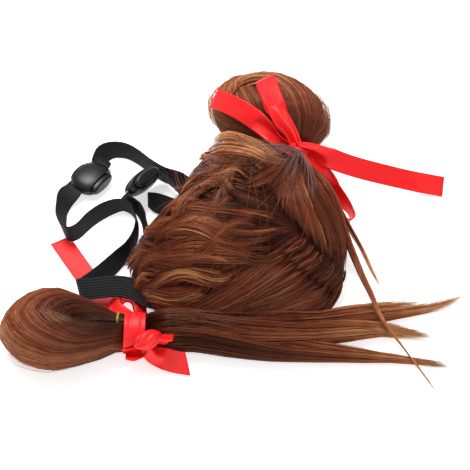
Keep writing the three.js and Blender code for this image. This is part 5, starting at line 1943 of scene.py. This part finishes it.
@dataclass(frozen=True)
class CordLock:
    """Flat oval spring lock: a hollow body with a slot for the strap, and a plunger button."""

    name: str
    body: str
    middle: Place
    along: Place
    axis: Place
    half_along: float = 12.0
    half_thick: float = 5.6
    roundness: float = 0.9
    button_along: float = 8.8
    button_thick: float = 3.7
    clearance: float = 0.3
    floor_thick: float = 1.5
    slot_width: float = 12.8
    slot_thick: float = 2.2
    travel: float = 2.5
    body_levels: Span = (-8.6, 9.6)
    well_top: float = 10.8
    button_levels: Span = (-4.2, 12.9)
    button_rounds: Span = (0.4, 1.6)
    window_low: float = -6.0
    past: float = 1.0
    fullest: float = 0.66
    end_inset: float = 0.14
    button_inset: float = 0.3
    sharp_angle: float = 38.0
    sides: int = 72

    def solid(self, name: str, shape: Shape) -> Piece:
        """Turn and move a shape from the lock's own axes to its place.

        Args:
            name: Name of the body.
            shape: Points along the strap, across the flat faces and along the button; triangles.

        Returns:
            The body.
        """
        along = unit(np.array(self.along))
        axis = np.array(self.axis)
        axis = unit(axis - along * (axis @ along))
        turned = shape[0] @ np.vstack([along, np.cross(axis, along), axis])
        return make_object(name, turned + np.array(self.middle), shape[1])

    def prism(self, levels: Rows, along: float, thick: float) -> Shape:
        """Loft a rounded outline through levels.

        Args:
            levels: Heights, each with the share of the full outline there.
            along: Half size along the strap.
            thick: Half size across the flat faces.

        Returns:
            The points and the triangles.
        """
        angle = full_turn(self.sides)
        outline = np.column_stack([
            np.sign(np.cos(angle)) * np.abs(np.cos(angle)) ** self.roundness * along,
            np.sign(np.sin(angle)) * np.abs(np.sin(angle)) ** self.roundness * thick,
        ])
        rings = [np.column_stack([outline * share, np.full(self.sides, height)]) for height, share in levels]
        return loft(np.array(rings))

    def rounded_levels(self) -> Rows:
        """Set the levels of the button, whose two ends are rounded off.

        Returns:
            Heights, each with the share of the full outline there.
        """
        (low, high), (low_round, high_round) = self.button_levels, self.button_rounds
        turns = np.linspace(0, np.pi / 2, 9)
        share = 1 - self.button_inset * (1 - np.sin(turns))
        below = np.column_stack([low + low_round * (1 - np.cos(turns)), share])
        above = np.column_stack([high - high_round * (1 - np.cos(turns)), share])
        return tuple(map(tuple, np.vstack([below, above[::-1]])))

    def pebble_levels(self) -> Rows:
        """Set the levels of the body: a pebble at its closed end, drawn in at the button.

        Returns:
            Heights, each with the share of the full outline there.
        """
        share = np.linspace(0.015, 1, 22)
        low, high = self.body_levels
        below = np.clip(1 - share / self.fullest, 0, 1)
        above = np.clip((share - self.fullest) / (1 - self.fullest), 0, 1)
        width = (1 - below**2.3) ** (1 / 2.3) - self.end_inset * above**2.4
        return tuple(map(tuple, np.column_stack([low + (high - low) * share, width])))

    def cut(self, whole: Piece, cutters: list[Piece]) -> None:
        """Take the cutters out of a body and remove them.

        Args:
            whole: The body.
            cutters: What to take out of it.
        """
        for cutter in cutters:
            tool = whole.modifiers.new("cut", "BOOLEAN")
            tool.operation = "DIFFERENCE"
            tool.solver = "EXACT"
            tool.object = cutter
        graph = bpy.context.evaluated_depsgraph_get()
        done = bpy.data.meshes.new_from_object(whole.evaluated_get(graph))
        whole.modifiers.clear()
        old = whole.data
        whole.data = done
        done.set_sharp_from_angle(angle=math.radians(self.sharp_angle))
        bpy.data.meshes.remove(old)
        for cutter in cutters:
            bpy.data.objects.remove(cutter)

    def block(self, along: float, thick: float, low: float, high: float) -> Piece:
        """Make a plain cutting block.

        Args:
            along: Half size along the strap.
            thick: Half size across the flat faces.
            low: Lower end along the button's axis.
            high: Upper end along the button's axis.

        Returns:
            The block, in its place.
        """
        corners = np.array([(1, 1), (-1, 1), (-1, -1), (1, -1)], float) * (along, thick)
        rings = np.array([np.column_stack([corners, np.full(4, level)]) for level in (low, high)])
        return self.solid("cutter", loft(rings))

    def build(self) -> None:
        """Build the body with its well and slot, and the button with its strap window."""
        half_slot, slot_side = self.slot_width / 2, self.slot_thick / 2
        pebble = self.prism(self.pebble_levels(), self.half_along, self.half_thick)
        body = self.solid(f"{self.name}_shell", pebble)
        well_levels = ((self.body_levels[0] + self.floor_thick, 1.0), (self.well_top, 1.0))
        well_along, well_thick = self.button_along + self.clearance, self.button_thick + self.clearance
        well = self.solid("cutter", self.prism(well_levels, well_along, well_thick))
        slot = self.block(self.half_along + self.past, slot_side, -half_slot, half_slot)
        self.cut(body, [well, slot])
        place_piece(body, PLASTIC, (f"{self.name}_body",))
        plunger = self.prism(self.rounded_levels(), self.button_along, self.button_thick)
        button = self.solid(f"{self.name}_plunger", plunger)
        window_top = half_slot + self.travel
        window = self.block(self.button_along + self.past, slot_side, self.window_low, window_top)
        self.cut(button, [window])
        place_piece(button, PLASTIC, (f"{self.name}_button",), self.body)


LOCKS = (
    CordLock("lock_1", "button_1", (-89.9, 47.35, 6), (-0.577, -0.817, 0), (0.817, -0.577, 0)),
    CordLock("lock_2", "button_2", (-57.5, 36.95, 11), (0.682, 0.731, 0), (0.385, -0.359, 0.85)),
)


@dataclass(frozen=True)
class Studio:
    """Pale floor, soft lights and the camera of the view."""

    target: Place = (-2.0, 5.95, 0.0)
    distance: float = 900.0
    elevation: float = 48.0
    view_width: float = 272.6
    sensor: float = 36.0
    floor_half: float = 3.0
    sky: float = 0.42
    key_watts: float = 13.0
    fill_watts: float = 3.5

    def camera(self) -> None:
        """Place the camera at the view's angle."""
        data = bpy.data.cameras.new("view_camera")
        data.sensor_width = self.sensor
        data.lens = self.sensor * self.distance / self.view_width
        data.clip_end = 20.0
        thing = bpy.data.objects.new("view_camera", data)
        rise = math.radians(self.elevation)
        target = Vector(self.target) * MM
        offset = Vector((0.0, -math.cos(rise), math.sin(rise))) * self.distance * MM
        thing.location = target + offset
        thing.rotation_euler = (-offset).to_track_quat("-Z", "Y").to_euler()
        bpy.context.scene.collection.objects.link(thing)
        bpy.context.scene.camera = thing

    def floor(self) -> None:
        """Lay the floor just under the wig."""
        half = self.floor_half / MM
        corners = np.array([(-half, -half, 0), (half, -half, 0), (half, half, 0), (-half, half, 0)], float)
        thing = make_object("floor", corners, np.array([(0, 1, 2), (0, 2, 3)]))
        thing.data.materials.append(PALE_FLOOR.material())

    def lamp(self, name: str, place: Vector, size: float, watts: float) -> None:
        """Hang a square soft light that faces the wig.

        Args:
            name: Name of the light.
            place: Where it hangs, in metres.
            size: Side of the square, in metres.
            watts: Power.
        """
        data = bpy.data.lights.new(name, "AREA")
        data.size = size
        data.energy = watts
        thing = bpy.data.objects.new(name, data)
        thing.location = place
        thing.rotation_euler = (-place).to_track_quat("-Z", "Y").to_euler()
        bpy.context.scene.collection.objects.link(thing)

    def build(self) -> None:
        """Set the floor, the lights, the sky and the camera."""
        self.camera()
        self.floor()
        self.lamp("key_light", Vector((-0.25, 0.35, 1.0)), 0.55, self.key_watts)
        self.lamp("fill_light", Vector((0.35, -0.85, 0.75)), 0.7, self.fill_watts)
        world = bpy.data.worlds.new("studio_sky")
        world.use_nodes = True
        sky = world.node_tree.nodes["Background"]
        sky.inputs["Color"].default_value = (1.0, 1.0, 1.0, 1.0)
        sky.inputs["Strength"].default_value = self.sky
        bpy.context.scene.world = world
        bpy.context.scene.view_settings.view_transform = "Standard"


def main() -> None:
    """Build the wig piece by piece."""
    logging.basicConfig(level=logging.INFO, format="%(name)s %(message)s")
    Studio().build()
    for part in (*STRAPS, *BOWS, NetCap(), HairElastic(), *LOCKS, *SECTIONS, *BUNCHES, *TAILS):
        part.build()
    BUN_CURL.strands()
    LooseHairs().build()


if __name__ == "__main__":
    main()
